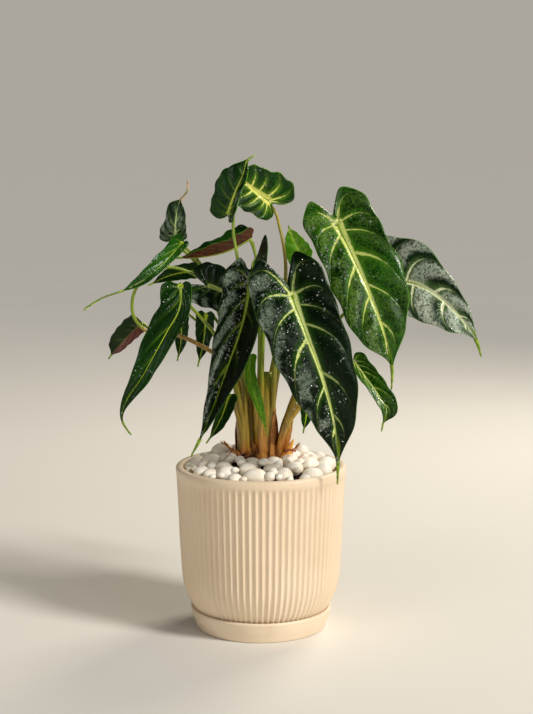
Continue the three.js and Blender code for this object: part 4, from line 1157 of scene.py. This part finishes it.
def soil():
    """The packed soil, and the crumbly mound that the stalks come out of."""
    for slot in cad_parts["soil"].material_slots:
        slot.material = EARTH
    bm = bmesh.new()
    bmesh.ops.create_grid(bm, x_segments=90, y_segments=70, size=1)
    for vert in bm.verts:
        x, y = vert.co.x * 33, vert.co.y * 27
        inward = max(0, 1 - (x / 31) ** 2 - (y / 25) ** 2)
        lump = noise.noise(Vector((x * 0.16, y * 0.16, 2))) * 2.2
        lump += noise.noise(Vector((x * 0.55, y * 0.55, 7))) * 1.5
        heap = 9 * math.exp(-((x + 13) / 13) ** 2 - ((y + 9) / 8) ** 2)
        vert.co = Vector((x - 2, y - 2, SOIL_Z - 1.5 + 11.5 * inward**0.7 + (lump + heap) * (0.3 + inward)))
    lowered = bmesh.ops.extrude_face_region(bm, geom=bm.faces[:])["geom"]
    for part in lowered:
        if isinstance(part, bmesh.types.BMVert):
            part.co.z = SOIL_Z - 5
    bmesh.ops.recalc_face_normals(bm, faces=bm.faces)
    make_piece("soil_mound", bm, [EARTH])
    rng = random.Random(5)
    bm = bmesh.new()
    for i in range(240):
        angle, radius = rng.uniform(0, 2 * math.pi), rng.uniform(2, 32)
        r = rng.uniform(0.8, 2.4)
        crumb = bmesh.new()
        bmesh.ops.create_icosphere(crumb, subdivisions=1, radius=r)
        for vert in crumb.verts:
            vert.co *= 1 + 0.5 * noise.noise(vert.co + Vector((i, 0, 0)))
        level = SOIL_Z + 9 * max(0, 1 - (radius / 29) ** 2) ** 0.7
        x, y = radius * math.cos(angle) - 2, radius * math.sin(angle) * 0.8 - 2
        spot = (x, y, level + r * 0.3 + rng.random())
        bmesh.ops.translate(crumb, vec=spot, verts=crumb.verts)
        add_small(bm, crumb)
    make_piece("soil_crumbs", bm, [EARTH], smooth=False)


# ---- studio --------------------------------------------------------------

LOOK_DOWN = 7.97  # degrees


def floor():
    bm = bmesh.new()
    bmesh.ops.create_grid(bm, x_segments=1, y_segments=1, size=60)
    mesh = bpy.data.meshes.new("floor")
    bm.to_mesh(mesh)
    bm.free()
    made = bpy.data.objects.new("floor", mesh)
    bpy.context.scene.collection.objects.link(made)
    finish = Finish("pale_floor", Roughness=0.6, Specular_IOR_Level=0.3)
    colour = finish.mix(finish.noise(3, 3), linear(226, 222, 214), linear(232, 228, 221))
    mesh.materials.append(finish.done(colour))


def light(name, kind, place, target, energy, size, colour):
    data = bpy.data.lights.new(name, kind)
    data.energy = energy
    data.color = colour
    if kind == "AREA":
        data.shape = "RECTANGLE"
        data.size, data.size_y = size
    made = bpy.data.objects.new(name, data)
    bpy.context.scene.collection.objects.link(made)
    made.location = place
    made.rotation_euler = (Vector(target) - Vector(place)).to_track_quat("-Z", "Y").to_euler()
    return made


def camera():
    data = bpy.data.cameras.new("camera")
    data.sensor_width = 36
    data.lens = 78.1
    data.dof.use_dof = False
    made = bpy.data.objects.new("camera", data)
    bpy.context.scene.collection.objects.link(made)
    made.location = (0.005, -1.365, 0.436)
    made.rotation_euler = (math.radians(90 - LOOK_DOWN), 0, 0)
    bpy.context.scene.camera = made


def studio():
    floor()
    camera()
    middle = (0.02, 0, 0.22)
    sun = light("sun", "SUN", (1.75, -1.1, 1.75), middle, 2.6, None, (1.0, 0.965, 0.92))
    sun.data.angle = math.radians(14)
    light("left_soft", "AREA", (-1.0, -1.15, 0.52), middle, 4, (0.45, 0.95), (1.0, 0.99, 0.97))
    light("right_soft", "AREA", (0.95, -1.3, 0.8), middle, 5, (0.7, 0.7), (1.0, 0.97, 0.93))
    light("back", "AREA", (0.7, 1.0, 1.1), middle, 12, (0.6, 0.5), (1.0, 0.92, 0.76))
    world = bpy.data.worlds.new("studio")
    bpy.context.scene.world = world
    world.use_nodes = True
    tree = world.node_tree
    around = tree.nodes["Background"]
    around.inputs["Color"].default_value = linear(214, 214, 208)
    around.inputs["Strength"].default_value = 0.14
    backdrop = tree.nodes.new("ShaderNodeBackground")
    backdrop.inputs["Color"].default_value = linear(172, 167, 158)
    seen = tree.nodes.new("ShaderNodeLightPath")
    both = tree.nodes.new("ShaderNodeMixShader")
    tree.links.new(seen.outputs["Is Camera Ray"], both.inputs[0])
    tree.links.new(around.outputs[0], both.inputs[1])
    tree.links.new(backdrop.outputs[0], both.inputs[2])
    tree.links.new(both.outputs[0], tree.nodes["World Output"].inputs["Surface"])
    bpy.context.scene.view_settings.view_transform = "Standard"


pot()
saucer()
leaves()
stalks()
stems()
sheaths()
bud()
strands()
root_curl()
pebbles()
soil()
studio()
